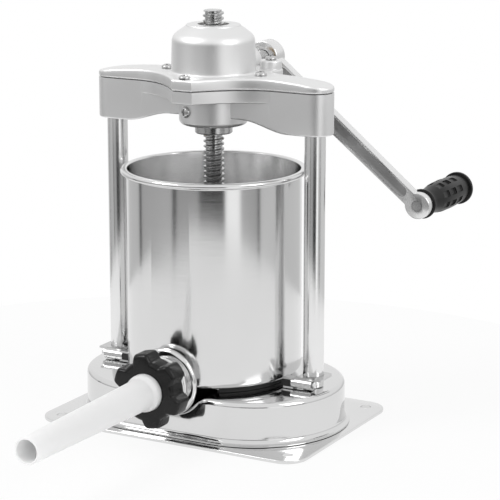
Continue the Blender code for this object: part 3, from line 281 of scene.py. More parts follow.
def plastic(name, dark, light, rough_low, rough_high, scale=900.0, bump=0.1, depth=0.00004, subsurface=0.0,
            shine=0.5):
    made, tree, shader = shader_nodes(name)
    grain = stretched_noise(tree, (1, 1, 1), scale)
    cloud = stretched_noise(tree, (1, 1, 1), 25.0, 2.0)
    tree.links.new(tinted(tree, cloud, dark, light), shader.inputs["Base Color"])
    tree.links.new(ranged(tree, cloud, rough_low, rough_high), shader.inputs["Roughness"])
    tree.links.new(bumped(tree, grain, bump, depth), shader.inputs["Normal"])
    shader.inputs["Subsurface Weight"].default_value = subsurface
    shader.inputs["Subsurface Radius"].default_value = (1, 1, 1)
    shader.inputs["Subsurface Scale"].default_value = 0.008
    shader.inputs["Specular IOR Level"].default_value = shine
    return made


mirror_steel = metal("mirror_steel", (0.66, 0.66, 0.66), (0.72, 0.72, 0.72), 0.05, 0.12, (1, 1, 60), 60.0, 0.03)
brushed_cup = metal("brushed_cup", (0.66, 0.66, 0.66), (0.74, 0.74, 0.74), 0.08, 0.20, (1, 1, 90), 40.0, 0.05)
chrome = metal("column_chrome", (0.78, 0.78, 0.78), (0.84, 0.84, 0.84), 0.17, 0.23, (1, 1, 0.2), 200.0, 0.02)
plate_steel = metal("plate_steel", (0.68, 0.68, 0.68), (0.76, 0.76, 0.76), 0.07, 0.16, (60, 1, 1), 30.0, 0.03)
screw_steel = metal("screw_steel", (0.50, 0.50, 0.50), (0.62, 0.62, 0.62), 0.16, 0.30, (1, 1, 12), 120.0, 0.05)
cast_metal = metal("satin_casting", (0.78, 0.78, 0.78), (0.85, 0.85, 0.85), 0.36, 0.46, (1, 1, 1), 700.0, 0.08)
arm_metal = metal("arm_casting", (0.76, 0.76, 0.76), (0.82, 0.82, 0.82), 0.16, 0.22, (1, 1, 1), 60.0, 0.01)
arm_floor = metal("arm_recess", (0.36, 0.36, 0.36), (0.42, 0.42, 0.42), 0.30, 0.40, (1, 1, 1), 300.0, 0.05)
bronze = metal("bearing_bronze", (0.50, 0.34, 0.16), (0.66, 0.46, 0.24), 0.22, 0.38, (1, 1, 20), 90.0)
black_gloss = plastic("black_gloss", (0.003, 0.003, 0.003), (0.006, 0.006, 0.006), 0.16, 0.26, shine=0.3)
black_satin = plastic("black_satin", (0.004, 0.004, 0.004), (0.008, 0.008, 0.008), 0.26, 0.38, bump=0.15,
                      shine=0.25)
rubber = plastic("black_rubber", (0.012, 0.012, 0.012), (0.020, 0.020, 0.020), 0.55, 0.70, bump=0.3)
white_tube = plastic("white_tube", (0.93, 0.93, 0.93), (0.96, 0.96, 0.96), 0.34, 0.44, subsurface=0.35)
white_food = plastic("white_food_plastic", (0.84, 0.84, 0.82), (0.90, 0.90, 0.88), 0.38, 0.50, subsurface=0.1)
silicone = plastic("pale_silicone", (0.70, 0.68, 0.65), (0.78, 0.76, 0.72), 0.45, 0.60, subsurface=0.2)

slots = {
    "polished_steel": mirror_steel, "bright_steel": screw_steel, "plain_steel": screw_steel,
    "cast_aluminium": cast_metal, "bronze": bronze, "black_plastic": black_gloss, "black_rubber": rubber,
    "white_plastic": white_food, "silicone": silicone,
}
slot_of = {row["node"]: row["material_slot"] for row in frame["record"]["subparts"]}
for node_name, node in frame["nodes"].items():
    node.data.materials.clear()
    node.data.materials.append(slots[slot_of[node_name]])


# Base plate and pan

def build_plate():
    low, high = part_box("base_plate")
    half_x, half_y, top = high.x, high.y, high.z
    corner = 0.018
    inset = 0.015
    hole = 0.0085 / 2
    outline = []
    for sx, sy, turn in ((1, 1, 0), (-1, 1, 1), (-1, -1, 2), (1, -1, 3)):
        centre = (sx * (half_x - corner), sy * (half_y - corner))
        outline += arc(centre, corner, turn * quarter, (turn + 1) * quarter, 13)
    plate = prism("bench_plate", outline, 0, top, edge=top / 5)
    cuts = []
    for sx in (-1, 1):
        for sy in (-1, 1):
            place = (sx * (half_x - inset), sy * (half_y - inset), 0)
            cuts.append(rod("hole", hole, -overrun, top + overrun, small, place))
    for side in ("left", "right"):
        place = middle(f"foot_bolt_{side}")
        head = 0.0064 + gap
        cuts.append(rod("bolt_hole", head, -overrun, top + overrun, small, (place.x, place.y, 0)))
    carve(plate, cuts=cuts)
    dress(plate, "frame", plate_steel, "bright_steel", "base_plate")


def build_pan():
    low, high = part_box("base_pan")
    base, top = low.z, high.z
    radius = 0.070
    length = 0.212
    edge = 0.004
    flare = 0.004
    sheet = 0.0012
    notch_floor = 0.0195
    flat_half = 0.010
    wide_half = 0.033

    def row(offset, height):
        return [(x, y, height) for x, y in stadium(length + 2 * offset, radius + offset)]

    foot = arc((flare, base + sheet + flare), flare, 3 * quarter, 2 * quarter, 7)
    crown = arc((-edge, top - edge), edge, 0, quarter, 9)
    outside = [row(r, z) for r, z in [(flare, base)] + foot + crown]
    pan = loft("base_pan_fine", outside)
    steps = [(-sheet, base - overrun), (-sheet, top - sheet - edge / 2), (-sheet - edge / 2, top - sheet)]
    inner = loft("inside", [row(r, z) for r, z in steps])
    floor = base + notch_floor
    rise = []
    for i in range(25):
        x = wide_half * i / 24
        share = smoothstep((x - flat_half) / (wide_half - flat_half))
        rise.append((x, top - (top - floor) * (1 - share)))
    roof = top + overrun
    profile = [(-wide_half, roof)] + [(-x, z) for x, z in reversed(rise)] + rise[1:] + [(wide_half, roof)]
    notch = prism("notch", profile, 0.0410, radius + flare + overrun, rotation=(quarter, 0, 0))
    carve(pan, cuts=[inner, notch])
    rounded_edges(pan, 0.0005, 2, math.radians(60))
    dress(pan, "frame", mirror_steel, "polished_steel", "base_pan")


def build_columns():
    for side in ("left", "right"):
        low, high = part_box(f"column_{side}")
        centre = middle(f"column_{side}")
        column = rod(f"column_{side}_fine", 0.008, low.z, high.z, medium, (centre.x, centre.y, 0), edge=0.0008)
        dress(column, "frame", chrome, "polished_steel", f"column_{side}")


# Cylinder

cup_radius = 0.068
outlet_z = middle("outlet_spout").z


def build_cup():
    low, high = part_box("cylinder")
    wall = 0.0012
    rim = high.z
    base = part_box("cylinder_seat")[1].z + gap
    lip = high.x
    edge = 0.005
    roll = 0.0021
    inner = cup_radius - wall
    floor = base + wall
    outside = arc((cup_radius - edge, base + edge), edge, 0, -quarter, 9)
    inside = arc((inner - edge + wall, floor + edge - wall), edge - wall, -quarter, 0, 9)
    hook = arc((lip - roll, rim - roll), roll, quarter, -quarter, 13)
    neck = arc((cup_radius + roll / 2, rim - 2 * roll - roll / 2), roll / 2, quarter, 2 * quarter, 5)
    mouth = arc((inner + wall, rim - wall), wall, 2 * quarter, quarter, 5)
    profile = [(0, floor)] + inside + mouth + hook + neck + outside + [(0, base)]
    cup = lathe("cylinder_fine", profile, fine)
    stub_radius, bore, back = 0.018, 0.015, 0.044
    front = 0.0705
    turn = (quarter, 0, 0)
    place = (0, 0, outlet_z)
    stub = rod("stub", stub_radius, back, front, medium, place, turn)
    room = rod("room", inner + wall / 2, floor - wall / 2, floor + 2 * stub_radius, fine)
    carve(stub, cuts=[room])
    passage = rod("passage", bore, back + wall, front + overrun, medium, place, turn)
    carve(cup, joins=[stub], cuts=[passage])
    dress(cup, "frame", brushed_cup, "polished_steel", "cylinder")

    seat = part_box("cylinder_seat")
    seat_inner, seat_outer = 0.050, 0.061
    profile = [(seat_inner, seat[1].z), (seat_outer, seat[1].z), (seat_outer, seat[0].z), (seat_inner, seat[0].z)]
    ring = lathe("cylinder_seat_fine", profile, fine)
    gap_box = box("seat_gap", (-0.033, -0.122, seat[0].z - overrun), (0.033, -0.041, seat[1].z + overrun))
    carve(ring, cuts=[gap_box])
    dress(ring, "frame", rubber, "black_rubber", "cylinder_seat")


# Outlet

def build_outlet():
    turn = (quarter, 0, 0)
    place = (0, 0, outlet_z)
    front, back = (-v for v in span("outlet_spout", 1))
    bore, crest, depth, pitch = 0.015, 0.020, 0.0012, 0.003
    root = crest - depth
    flange, thickness = 0.0265, 0.0055
    half = thickness / 2
    rim = arc((flange - half, back + half), half, quarter, -quarter, 13)
    flange_front = back + thickness
    threads = []
    for i in range(int((front - flange_front) / pitch)):
        top = front - i * pitch
        threads += [(root, top), (crest - depth / 6, top - pitch * 0.30), (crest, top - pitch * 0.40),
                    (crest, top - pitch * 0.55), (crest - depth / 6, top - pitch * 0.65),
                    (root, top - pitch * 0.95)]
    profile = [(bore, front)] + threads + [(root, flange_front)] + rim + [(bore, back)]
    spout = lathe("outlet_spout_fine", profile, medium, place, turn)
    dress(spout, "frame", mirror_steel, "polished_steel", "outlet_spout", angle=math.radians(40))

    tip_y, base_y = (-v for v in span("stuffing_tube", 1))
    shoulder, neck, root_r, tip_r, wall = 0.01425, 0.006, 0.01225, 0.0098, 0.0017
    flange_top = base_y + 0.0022
    shoulder_top = flange_top + 0.0075
    neck_top = shoulder_top + neck
    lip = wall / 2
    mouth = arc((tip_r - lip, tip_y - lip), lip, 2 * quarter, 0, 9)
    blend = [(root_r + (shoulder - root_r) * smoothstep(i / 8), neck_top - neck * i / 8) for i in range(9)]
    outside = mouth + blend + [(shoulder, flange_top), (0.0171, flange_top), (0.0171, base_y)]
    inside = [(shoulder - wall, base_y), (shoulder - wall, shoulder_top - wall), (root_r - wall, neck_top)]
    tube = lathe("stuffing_tube_fine", outside + inside, medium, place, turn)
    dress(tube, "tube", white_tube, "white_plastic", "stuffing_tube", angle=math.radians(40))

    nut_front, nut_back = (-v for v in span("star_nut", 1))
    valley, lobe, lobes = 0.02375, 0.029, 6
    points = 36 * lobes

    def ring(inset, height):
        made = []
        for i in range(points):
            angle = full_turn * i / points
            wave = (1 + math.cos(lobes * angle)) / 2
            radius = valley + (lobe - valley) * smoothstep((wave - 1 / 5) * 5 / 3) - inset
            made.append((radius * math.cos(angle), radius * math.sin(angle), height))
        return made

    round_edge = 0.0035
    lower = [ring(round_edge - r, z) for r, z in arc((0, nut_back + round_edge), round_edge, -quarter, 0, 7)]
    upper = [ring(round_edge - r, z) for r, z in arc((0, nut_front - round_edge), round_edge, 0, quarter, 7)]
    star = loft("star_nut_fine", lower + upper, place, (quarter, math.radians(20), 0))
    bore_cut = rod("bore", crest + 0.0004, nut_back - overrun, flange_top + gap, medium, place, turn)
    mouth_cut = rod("mouth", shoulder + 0.0004, flange_top, nut_front + overrun, medium, place, turn)
    carve(star, cuts=[bore_cut, mouth_cut])
    dress(star, "star", black_gloss, "black_plastic", "star_nut")


# Head castings

column_x = middle("column_right").x
lobe_radius = 0.014
bridge_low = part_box("bridge_body")[0].z + 0.009 - 0.008
split_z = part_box("bridge_body")[1].z
cover_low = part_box("gear_cover")[0].z
cover_top = cover_low + 0.009
dome_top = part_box("gear_cover")[1].z
shaft_z = middle("crank_shaft").z


def quadratic_point(start, control, end, t):
    corners = zip(start, control, end)
    return tuple((1 - t) ** 2 * a + 2 * t * (1 - t) * b + t**2 * c for a, b, c in corners)


def quadratic(start, control, end, points):
    return [quadratic_point(start, control, end, i / points) for i in range(1, points + 1)]


def head_outline():
    front_half, front_reach = 0.0085, 0.048
    end_half, control_half = 0.060, 0.034
    left = [(-end_half, -lobe_radius)]
    left += quadratic(left[0], (-control_half, -lobe_radius), (-front_half, -front_reach), 24)
    front = left + [(-x, y) for x, y in reversed(left)]
    back_half, back_reach, corner = 0.038, 0.047, 0.008
    right = [(end_half, lobe_radius)]
    right += quadratic(right[0], (0.044, lobe_radius), (back_half, 0.024), 12)
    right += arc((back_half - corner, back_reach - corner), corner, 0, quarter, 9)
    back = right + [(-x, y) for x, y in reversed(right)]
    return front, back


def whole_outline():
    front, back = head_outline()
    right = arc((column_x, 0), lobe_radius, -quarter, quarter, 33)
    left = arc((-column_x, 0), lobe_radius, quarter, 3 * quarter, 33)
    return right + back + left + front


def bent_prism(name, outline, low, high, edge, stations, shift):
    obj = prism(name, outline, low, high, edge=edge, segments=4)
    bm = bmesh.new()
    bm.from_mesh(obj.data)
    for x in stations:
        for side in (-1, 1):
            parts = list(bm.verts) + list(bm.edges) + list(bm.faces)
            bmesh.ops.bisect_plane(bm, geom=parts, dist=weld, plane_co=(side * x, 0, 0), plane_no=(1, 0, 0))
    for vert in bm.verts:
        vert.co.z += shift(abs(vert.co.x), vert.co.z)
    bm.to_mesh(obj.data)
    bm.free()
    return obj


def screw_places():
    raised = cover_top + 0.0065
    return {
        "cover_screw_front": (0, -0.0432, cover_top), "cover_screw_left": (-0.041, 0, cover_top),
        "cover_screw_right": (0.041, 0, cover_top), "cover_screw_back_left": (-0.029, 0.038, raised),
        "cover_screw_back_right": (0.029, 0.038, raised),
    }


def build_bridge():
    inner_half, outer_half, arch_rise = 0.032, 0.070, 0.008
    ledge = split_z - 0.0095
    centre = (bridge_low + split_z) / 2

    def arch(x, z):
        return 0 if z > centre else arch_rise * (1 - smoothstep((x - inner_half) / (outer_half - inner_half)))

    right = arc((column_x, 0), lobe_radius, -quarter, quarter, 33)
    left = arc((-column_x, 0), lobe_radius, quarter, 3 * quarter, 33)
    stations = [inner_half + (outer_half - inner_half) * i / 12 for i in range(13)]
    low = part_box("bridge_body")[0].z
    body = bent_prism("bridge_fine", right + left, low, split_z + overrun, 0.0014, stations, arch)
    front, back = head_outline()
    block = prism("block", [(x, y * 0.99) for x, y in back + front], ledge, split_z + overrun, edge=0.0012)
    boss_radius, boss_round = 0.0265, 0.004
    boss_low = split_z - 0.0305
    corner = arc((boss_radius - boss_round, boss_low + boss_round), boss_round, 0, -quarter, 9)
    boss = lathe("boss", [(0, ledge + overrun), (boss_radius, ledge + overrun)] + corner + [(0, boss_low)], fine)
    above = box("above", (-0.2, -0.2, split_z), (0.2, 0.2, split_z + 2 * overrun))
    pocket = rod("pocket", 0.0285, split_z - 0.0045, split_z + overrun, fine)
    bush_hole = rod("bush_hole", 0.0132, boss_low - overrun, split_z + overrun, medium)
    cuts = [above, pocket, bush_hole]
    for side in (-1, 1):
        cuts.append(rod("socket", 0.0083, low - overrun, low + 0.0188, small, (side * column_x, 0, 0)))
    carve(body, joins=[block, boss], cuts=cuts)
    dress(body, "frame", cast_metal, "cast_aluminium", "bridge_body")


def build_cover():
    drop_start, drop = 0.046, 0.0045
    reach = column_x + lobe_radius - drop_start
    centre = (cover_low + cover_top) / 2

    def droop(x, z):
        return 0 if z < centre else -drop * max(0.0, (x - drop_start) / reach) ** 2

    stations = [drop_start + reach * i / 14 for i in range(14)]
    cover = bent_prism("gear_cover_fine", whole_outline(), cover_low, cover_top, 0.0018, stations, droop)
    base, shoulder, top = 0.0323, 0.03165, 0.021
    shoulder_z = cover_top + 0.0272
    edge = 0.002
    fillet = arc((base + edge, cover_top + edge), edge, 2 * quarter, 3 * quarter, 7)
    bend, slope_length = 0.004, 0.0137
    share = 1 - bend / slope_length
    start = (top + (shoulder - top) * share, dome_top - (dome_top - shoulder_z) * share)
    turn_points = [start] + quadratic(start, (shoulder, shoulder_z), (shoulder, shoulder_z - bend), 8)
    crown = arc((top - 0.0012, dome_top - 0.0012), 0.0012, quarter, 0, 5)
    profile = [(0, dome_top)] + crown + turn_points + fillet
    profile += [(base + edge, cover_low + edge), (0, cover_low + edge)]
    dome = lathe("dome", profile, fine)
    housing_radius, housing_end = 0.012, 0.056
    axis, back = (0, 0, shaft_z), (-quarter, 0, 0)
    housing = rod("housing", housing_radius, 0.027, housing_end, medium, axis, back, edge=0.0012)
    below = box("below", (-0.06, 0, cover_low - 0.03), (0.06, 0.12, cover_low + 0.0018))
    carve(housing, cuts=[below])
    joins = [dome, housing]
    cuts = []
    for name, (x, y, seat) in screw_places().items():
        if seat > cover_top + overrun:
            boss, soft = 0.0085, 0.0014
            side = arc((boss - soft, seat - soft), soft, quarter, 0, 5) + [(boss, cover_low + edge)]
            profile = [(0, seat)] + side + [(0, cover_low + edge)]
            joins.append(lathe("screw_boss", profile, small, (x, y, 0)))
        cuts.append(rod("screw_hole", 0.0025, cover_low - overrun, seat + overrun, 20, (x, y, 0)))
    thickness, screw_clear, room_shoulder, room_radius = 0.0038, 0.012, 0.0194, 0.0285
    room_top = dome_top - thickness
    profile = [(0, dome_top + overrun), (screw_clear, dome_top + overrun), (screw_clear, room_top)]
    profile += [(room_shoulder, room_top), (shoulder - thickness, shoulder_z - thickness)]
    profile += [(room_radius, cover_top), (room_radius, cover_low - overrun), (0, cover_low - overrun)]
    room = lathe("room", profile, fine)
    shaft_hole = rod("shaft_hole", 0.0084, 0.0125, housing_end + overrun, medium, axis, back)
    carve(cover, joins=joins, cuts=cuts + [room, shaft_hole])
    dress(cover, "frame", cast_metal, "cast_aluminium", "gear_cover")


def pan_head(name, node, length, location, rotation, body="frame"):
    head, height, shank = 0.0044, 0.0032, 0.0022
    crown = [(0, height)]
    for i in range(1, 9):
        a = quarter * i / 8
        crown.append((head * math.sin(a), 0.0010 + (height - 0.0010) * math.cos(a) ** 0.8 if i < 8 else 0.0010))
    profile = crown + [(head, gap), (shank, gap), (shank, -length), (0, -length)]
    screw = lathe(name, profile, small, location, rotation)
    cuts = []
    for x, y in ((0.0026, 0.00055), (0.00055, 0.0026)):
        cuts.append(box("slot", (-x, -y, height - 0.0016), (x, y, height + overrun), location, rotation))
    carve(screw, cuts=cuts)
    dress(screw, body, screw_steel, "bright_steel", node)


def build_screws():
    for node, (x, y, seat) in screw_places().items():
        pan_head(f"{node}_fine", node, seat - split_z + 0.0055, (x, y, seat), (0, 0, 0.4))
    centre = middle("bush_screw")
    angle = math.radians(-112)
    boss_radius, flat_half = 0.0265, 0.0048
    radius = math.sqrt(boss_radius**2 - flat_half**2)
    place = (radius * math.cos(angle), radius * math.sin(angle), centre.z)
    pan_head("bush_screw_fine", "bush_screw", 0.0075, place, (0, quarter, angle))
    low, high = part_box("guide_bush")
    flange_top = low.z + 0.0066
    profile = [(0.0113, high.z), (0.0129, high.z), (0.0129, flange_top), (0.0145, flange_top)]
    profile += arc((0.0145 - 0.001, low.z + 0.001), 0.001, 0, -quarter, 5) + [(0.0113, low.z)]
    bush = lathe("guide_bush_fine", profile, medium)
    dress(bush, "frame", screw_steel, "bronze", "guide_bush")


# Lead screw

def build_lead_screw():
    """A right-hand trapezoid thread as a sheared grid, trimmed to length by a chamfered rod."""
    crest, depth, pitch = 0.008, 0.0016, 0.004
    root = crest - depth
    low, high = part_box("lead_screw")
    thread_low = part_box("piston")[1].z + gap + 0.004
    steps = 40
    shoulder = crest - 0.0002
    stops = [(0.0, root), (0.26, root), (0.44, shoulder), (0.48, crest)]
    stops += [(0.72, crest), (0.76, shoulder), (0.94, root)]
    base = thread_low - pitch
    turns = math.ceil((high.z + pitch - base) / pitch)
    bm = bmesh.new()
    rows = []
    for turn in range(turns + 1):
        for share, radius in stops[: 1 if turn == turns else len(stops)]:
            row = []
            for step in range(steps):
                angle = full_turn * step / steps
                z = base + pitch * (turn + share + step / steps)
                row.append(bm.verts.new((radius * math.cos(angle), radius * math.sin(angle), z)))
            rows.append(row)
    per_turn, last, top = len(stops), steps - 1, len(rows) - 1
    for k in range(top):
        for s in range(last):
            bm.faces.new((rows[k][s], rows[k][s + 1], rows[k + 1][s + 1], rows[k + 1][s]))
        if k + per_turn + 1 <= top:
            bm.faces.new((rows[k][last], rows[k + per_turn][0], rows[k + per_turn + 1][0], rows[k + 1][last]))
    foot_loop = rows[0] + [rows[i][0] for i in range(per_turn, 0, -1)]
    head_loop = rows[top] + [rows[i][last] for i in range(top - 1, top - per_turn - 1, -1)]
    for loop, z in ((foot_loop, base + pitch / 2), (head_loop, base + pitch * (turns + 1 / 2))):
        centre = bm.verts.new((0, 0, z))
        for a, b in zip(loop, loop[1:] + loop[:1]):
            bm.faces.new((centre, a, b))
    screw = new_object("lead_screw_fine", bm)
    nose = lathe("nose", [(0, high.z), (crest - 0.0012, high.z), (crest + gap, high.z - 0.0012 - gap),
                          (crest + gap, thread_low), (0, thread_low)], medium)
    carve(screw, common=[nose])
    collar, collar_height, shank = 0.011, 0.004, 0.005
    collar_low = thread_low - collar_height
    profile = [(0, thread_low + overrun), (root - gap, thread_low + overrun), (root - gap, thread_low)]
    profile += [(collar, thread_low), (collar, collar_low), (shank, collar_low), (shank, low.z), (0, low.z)]
    foot = lathe("foot", profile, small)
    carve(screw, joins=[foot])
    dress(screw, "ram", screw_steel, "bright_steel", "lead_screw")


def build_piston():
    low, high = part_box("piston")
    outer = high.x
    dish = 0.002
    centre = (low.z + high.z) / 2
    profile = [(0.0053, high.z), (0.013, high.z), (0.015, high.z - dish), (outer - 0.006, high.z - dish),
               (outer - 0.003, high.z)] + arc((outer - 0.001, high.z - 0.001), 0.001, quarter, 0, 5)
    groove, groove_half, recess, roof = 0.0026, 0.0029, 0.013, low.z + 0.0065
    profile += [(outer, centre + groove_half), (outer - groove, centre + groove_half)]
    profile += [(outer - groove, centre - groove_half), (outer, centre - groove_half), (outer, low.z)]
    profile += [(recess, low.z), (recess, roof), (0.0053, roof)]
    piston = lathe("piston_fine", profile, fine)
    valve = middle("air_valve")
    hole = rod("hole", 0.0038, low.z - overrun, high.z + overrun, small, (valve.x, valve.y, 0))
    seat = rod("seat", 0.0069, low.z - overrun, low.z + 0.0048, small, (valve.x, valve.y, 0))
    carve(piston, cuts=[hole, seat])
    dress(piston, "ram", white_food, "white_plastic", "piston")
    seal_low, seal_high = span("piston_seal", 2)
    seal_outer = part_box("piston_seal")[1].x
    seal_inner = outer - 0.0023
    profile = [(seal_inner, seal_high), (seal_outer, seal_high), (seal_outer, seal_low), (seal_inner, seal_low)]
    seal = lathe("piston_seal_fine", profile, fine)
    dress(seal, "ram", silicone, "silicone", "piston_seal")


# Crank

crank_y = middle("crank_arm").y
crank_angle = math.radians(-38.6)
crank_length = 0.172
arm_turn = (quarter, -crank_angle, 0)
end_x = crank_length * math.cos(crank_angle)
end_z = shaft_z + crank_length * math.sin(crank_angle)


def build_crank():
    centre = (0, crank_y, shaft_z)
    hub, boss, root_half, tip_half, rim = 0.013, 0.0105, 0.00775, 0.0065, 0.0024
    half, depth = 0.004, 0.0024
    a = math.asin(root_half / hub)
    b = math.pi - math.asin(tip_half / boss)
    outline = arc((0, 0), hub, a, full_turn - a, 49) + arc((crank_length, 0), boss, -b, b, 41)
    arm = prism("crank_arm_fine", outline, -half, half, centre, arm_turn, edge=0.0009)
    collar = rod("collar", hub, -0.007, 0.007, medium, centre, arm_turn, edge=0.0009)
    first = hub + 0.002 + root_half - rim
    last = crank_length - boss - 0.002 - tip_half + rim
    near, far = root_half - rim, tip_half - rim
    recess = arc((first, 0), near, quarter, 3 * quarter, 17) + arc((last, 0), far, -quarter, quarter, 17)
    cuts = []
    for low, high in ((half - depth, half + overrun), (-half - overrun, depth - half)):
        cuts.append(prism("recess", recess, low, high, centre, arm_turn))
    cuts.append(rod("bore", 0.0063, -0.02, 0.02, small, centre, arm_turn))
    cuts.append(rod("bolt_bore", 0.0043, -0.02, 0.02, small, (end_x, crank_y, end_z), (quarter, 0, 0)))
    carve(arm, joins=[collar], cuts=cuts)
    dress(arm, "crank", arm_metal, "cast_aluminium", "crank_arm")
    arm.data.materials.append(arm_floor)
    for face in arm.data.polygons:
        if abs(abs(face.center.z) - (half - depth)) < gap and hub < face.center.x < crank_length - boss:
            face.material_index = 1

    axis = (0, 0, shaft_z)
    back = (-quarter, 0, 0)
    low, high = span("crank_shaft", 1)
    shaft = rod("crank_shaft_fine", 0.006, low + 0.014, high, small, axis, back, edge=0.0004)
    nose = rod("nose", 0.0045, low, low + 0.016, small, axis, back, edge=0.0004)
    carve(shaft, joins=[nose], cuts=[rod("thread", 0.0033, high - 0.0123, high + overrun, 20, axis, back)])
    dress(shaft, "crank", screw_steel, "bright_steel", "crank_shaft")

    low, high = span("hub_screw", 1)
    base = high - 0.004
    crown = arc((0.006, base + 0.002), 0.002, quarter, 0, 7)
    profile = [(0, high)] + crown + [(0.008, base), (0.003, base), (0.003, low), (0, low)]
    head = lathe("hub_screw_fine", profile, small, axis, back)
    key = prism("key", hexagon(0.005), high - 0.0016, high + overrun, axis, back)
    carve(head, cuts=[key])
    dress(head, "crank", screw_steel, "bright_steel", "hub_screw")


def build_grip():
    low, high = span("handle_grip", 1)
    length = high - low
    place = (end_x, low, end_z)
    turn = (-quarter, 0, 0)
    bore, sink, head_room = 0.0044, length - 0.0053, 0.00765
    body = [(0.003, 0.01135), (0.0045, 0.0090), (0.0075, 0.0083), (0.013, 0.0088), (0.020, 0.0106),
            (0.028, 0.0118), (0.038, 0.01225), (0.050, 0.0121), (0.060, 0.0116), (0.066, 0.0113), (0.0695, 0.0113)]
    end, edge = 0.0131, 0.0012
    outside = arc((end - edge, length - edge), edge, quarter, 0, 5)
    outside += arc((end - edge, length - 0.0035 + edge / 2), edge, 0, -quarter / 2, 3)
    outside += [(r, z) for z, r in reversed(body)]
    collar = 0.01175 - edge
    outside += arc((collar, 0.003 - edge), edge, quarter / 3, 0, 3) + arc((collar, edge), edge, 0, -quarter, 5)
    profile = [(head_room, length)] + outside + [(bore, 0), (bore, sink), (head_room, sink)]
    grip = lathe("handle_grip_fine", profile, medium, place, turn)
    bm = bmesh.new()
    for row in range(3):
        for column in range(8):
            angle = full_turn * (column + 1 / 2) / 8
            reach = Matrix.Translation((0.01225 + overrun - 0.0016, 0, 0.026 + 0.0125 * row))
            pocket = reach @ Matrix.Diagonal((2 * overrun, 0.0052, 0.0092, 1))
            bmesh.ops.create_cube(bm, size=1, matrix=Matrix.Rotation(angle, 4, "Z") @ pocket)
    bmesh.ops.bevel(bm, geom=list(bm.edges), offset=0.0008, segments=3, profile=0.5, affect="EDGES")
    pockets = new_object("pockets", bm, place, turn)
    carve(grip, cuts=[pockets])
    dress(grip, "grip", black_satin, "black_plastic", "handle_grip")

    low, high = span("handle_bolt", 1)
    top = high - place[1]
    bottom = low - place[1]
    head = 0.00725
    bolt = lathe("handle_bolt_fine", [(0, top), (head - 0.0005, top), (head, top - 0.0005), (head, top - 0.003),
                                      (0.004, top - 0.003), (0.004, bottom), (0, bottom)], small, place, turn)
    carve(bolt, cuts=[prism("key", hexagon(0.005), top - 0.0016, top + overrun, place, turn)])
    dress(bolt, "crank", screw_steel, "bright_steel", "handle_bolt")


build_plate()
build_pan()
build_columns()
build_cup()
build_outlet()
build_bridge()
build_cover()
build_screws()
build_lead_screw()
build_piston()
build_crank()
build_grip()


# Studio

def build_floor():
    bm = bmesh.new()
    bmesh.ops.create_circle(bm, cap_ends=True, segments=64, radius=0.42)
    floor = new_object("floor", bm, (0, -0.05, -0.0002))
    made = bpy.data.materials.new("floor")
    made.use_nodes = True
    tree = made.node_tree
    shader = tree.nodes["Principled BSDF"]
    shader.inputs["Base Color"].default_value = (0.92, 0.92, 0.92, 1)
    shader.inputs["Roughness"].default_value = 0.7
    glow = tree.nodes.new("ShaderNodeEmission")
    glow.inputs["Color"].default_value = (1, 1, 1, 1)
    glow.inputs["Strength"].default_value = 1.0
    path = tree.nodes.new("ShaderNodeLightPath")
    seen = tree.nodes.new("ShaderNodeMath")
    seen.operation = "MAXIMUM"
    share = tree.nodes.new("ShaderNodeMath")
    share.operation = "MULTIPLY"
    share.inputs[1].default_value = 0.86
    mix = tree.nodes.new("ShaderNodeMixShader")
    tree.links.new(path.outputs["Is Camera Ray"], seen.inputs[0])
    tree.links.new(path.outputs["Is Glossy Ray"], seen.inputs[1])
    tree.links.new(seen.outputs[0], share.inputs[0])
    tree.links.new(share.outputs[0], mix.inputs[0])
    tree.links.new(shader.outputs[0], mix.inputs[1])
    tree.links.new(glow.outputs[0], mix.inputs[2])
    tree.links.new(mix.outputs[0], tree.nodes["Material Output"].inputs["Surface"])
    floor.data.materials.append(made)


studio_front = math.radians(-60.1)
# Each row is an angle round the studio from its front, in degrees, and the brightness there.
studio_bands = [
    (-180, 0.95), (-152, 0.85), (-148, 0.62), (-117, 0.60), (-115, 0.06), (-112, 0.06), (-110, 0.46), (-58, 0.50),
    (-56, 0.05), (-52, 0.05), (-50, 0.36), (-22, 0.32), (-17, 0.015), (13, 0.012), (16, 1.15), (33, 1.15),
    (37, 0.48), (59, 0.42), (60, 0.05), (62, 0.05), (64, 0.66), (150, 0.66), (165, 0.95), (180, 0.95),
]


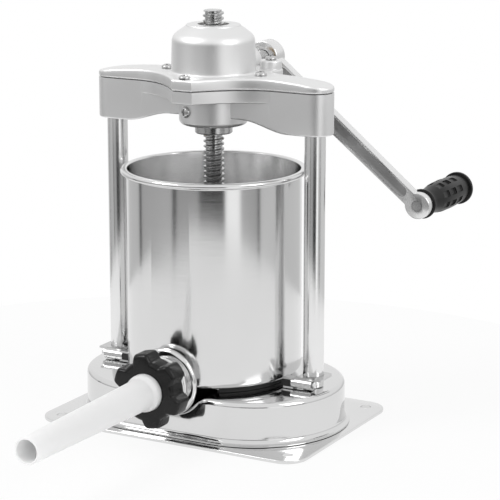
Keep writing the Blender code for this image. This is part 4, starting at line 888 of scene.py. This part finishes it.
def build_world():
    """White for the camera, even for diffuse light, and a ring of light and dark panels in what shines."""
    world = bpy.data.worlds.new("studio")
    bpy.context.scene.world = world
    world.use_nodes = True
    tree = world.node_tree
    tree.nodes.clear()
    new, link = tree.nodes.new, tree.links.new

    def maths(operation, a, b=None):
        node = new("ShaderNodeMath")
        node.operation = operation
        for socket, value in zip(node.inputs, (a, b)):
            if value is None:
                continue
            if isinstance(value, (int, float)):
                socket.default_value = value
            else:
                link(value, socket)
        return node.outputs[0]

    place = new("ShaderNodeTexCoord")
    parts = new("ShaderNodeSeparateXYZ")
    link(place.outputs["Generated"], parts.inputs[0])
    turn = maths("ARCTAN2", parts.outputs["Y"], parts.outputs["X"])
    turned = maths("SUBTRACT", turn, studio_front)
    share = maths("FRACT", maths("ADD", maths("DIVIDE", turned, full_turn), 1.5))
    ramp = new("ShaderNodeValToRGB")
    ramp.color_ramp.interpolation = "LINEAR"
    stops = ramp.color_ramp.elements
    while len(stops) > 1:
        stops.remove(stops[-1])
    for i, (degrees, level) in enumerate(studio_bands):
        stop = stops[0] if i == 0 else stops.new((degrees + 180) / 360)
        stop.position = (degrees + 180) / 360
        stop.color = (level, level, level, 1)
    link(share, ramp.inputs["Fac"])
    height = new("ShaderNodeMapRange")
    height.interpolation_type = "SMOOTHSTEP"
    height.inputs["From Min"].default_value = -0.06
    height.inputs["From Max"].default_value = 0.30
    link(parts.outputs["Z"], height.inputs["Value"])
    overhead = new("ShaderNodeMix")
    overhead.data_type = "RGBA"
    overhead.inputs["B"].default_value = (0.95, 0.95, 0.95, 1)
    link(height.outputs["Result"], overhead.inputs["Factor"])
    link(ramp.outputs["Color"], overhead.inputs["A"])
    shine = new("ShaderNodeBackground")
    link(overhead.outputs["Result"], shine.inputs["Color"])
    even = new("ShaderNodeBackground")
    even.inputs["Color"].default_value = (1, 1, 1, 1)
    even.inputs["Strength"].default_value = 0.75
    seen = new("ShaderNodeBackground")
    seen.inputs["Color"].default_value = (1, 1, 1, 1)
    seen.inputs["Strength"].default_value = 1.0
    path = new("ShaderNodeLightPath")
    glossy = new("ShaderNodeMixShader")
    link(path.outputs["Is Glossy Ray"], glossy.inputs[0])
    link(even.outputs[0], glossy.inputs[1])
    link(shine.outputs[0], glossy.inputs[2])
    whole = new("ShaderNodeMixShader")
    link(maths("MAXIMUM", path.outputs["Is Camera Ray"], path.outputs["Is Transmission Ray"]), whole.inputs[0])
    link(glossy.outputs[0], whole.inputs[1])
    link(seen.outputs[0], whole.inputs[2])
    output = new("ShaderNodeOutputWorld")
    link(whole.outputs[0], output.inputs["Surface"])


def build_light(name, location, target, size, power):
    data = bpy.data.lights.new(name, "AREA")
    data.shape = "RECTANGLE"
    data.size, data.size_y = size
    data.energy = power
    lamp = bpy.data.objects.new(name, data)
    bpy.context.scene.collection.objects.link(lamp)
    lamp.location = location
    lamp.rotation_euler = (Vector(target) - Vector(location)).to_track_quat("-Z", "Y").to_euler()


def build_camera():
    data = bpy.data.cameras.new("camera")
    data.lens = 146.8
    data.sensor_width = 36
    camera = bpy.data.objects.new("camera", data)
    bpy.context.scene.collection.objects.link(camera)
    camera.location = (0.7664, -1.3344, 0.4977)
    camera.rotation_euler = (math.radians(90 - 13.334), 0, math.radians(28.839))
    bpy.context.scene.camera = camera


build_floor()
build_world()
build_light("key", (-0.9, -1.0, 1.3), (0, 0, 0.15), (0.7, 0.7), 9)
build_light("fill", (1.3, -0.2, 0.9), (0, 0, 0.15), (0.6, 0.9), 4)
build_camera()
bpy.context.scene.view_settings.view_transform = "Standard"
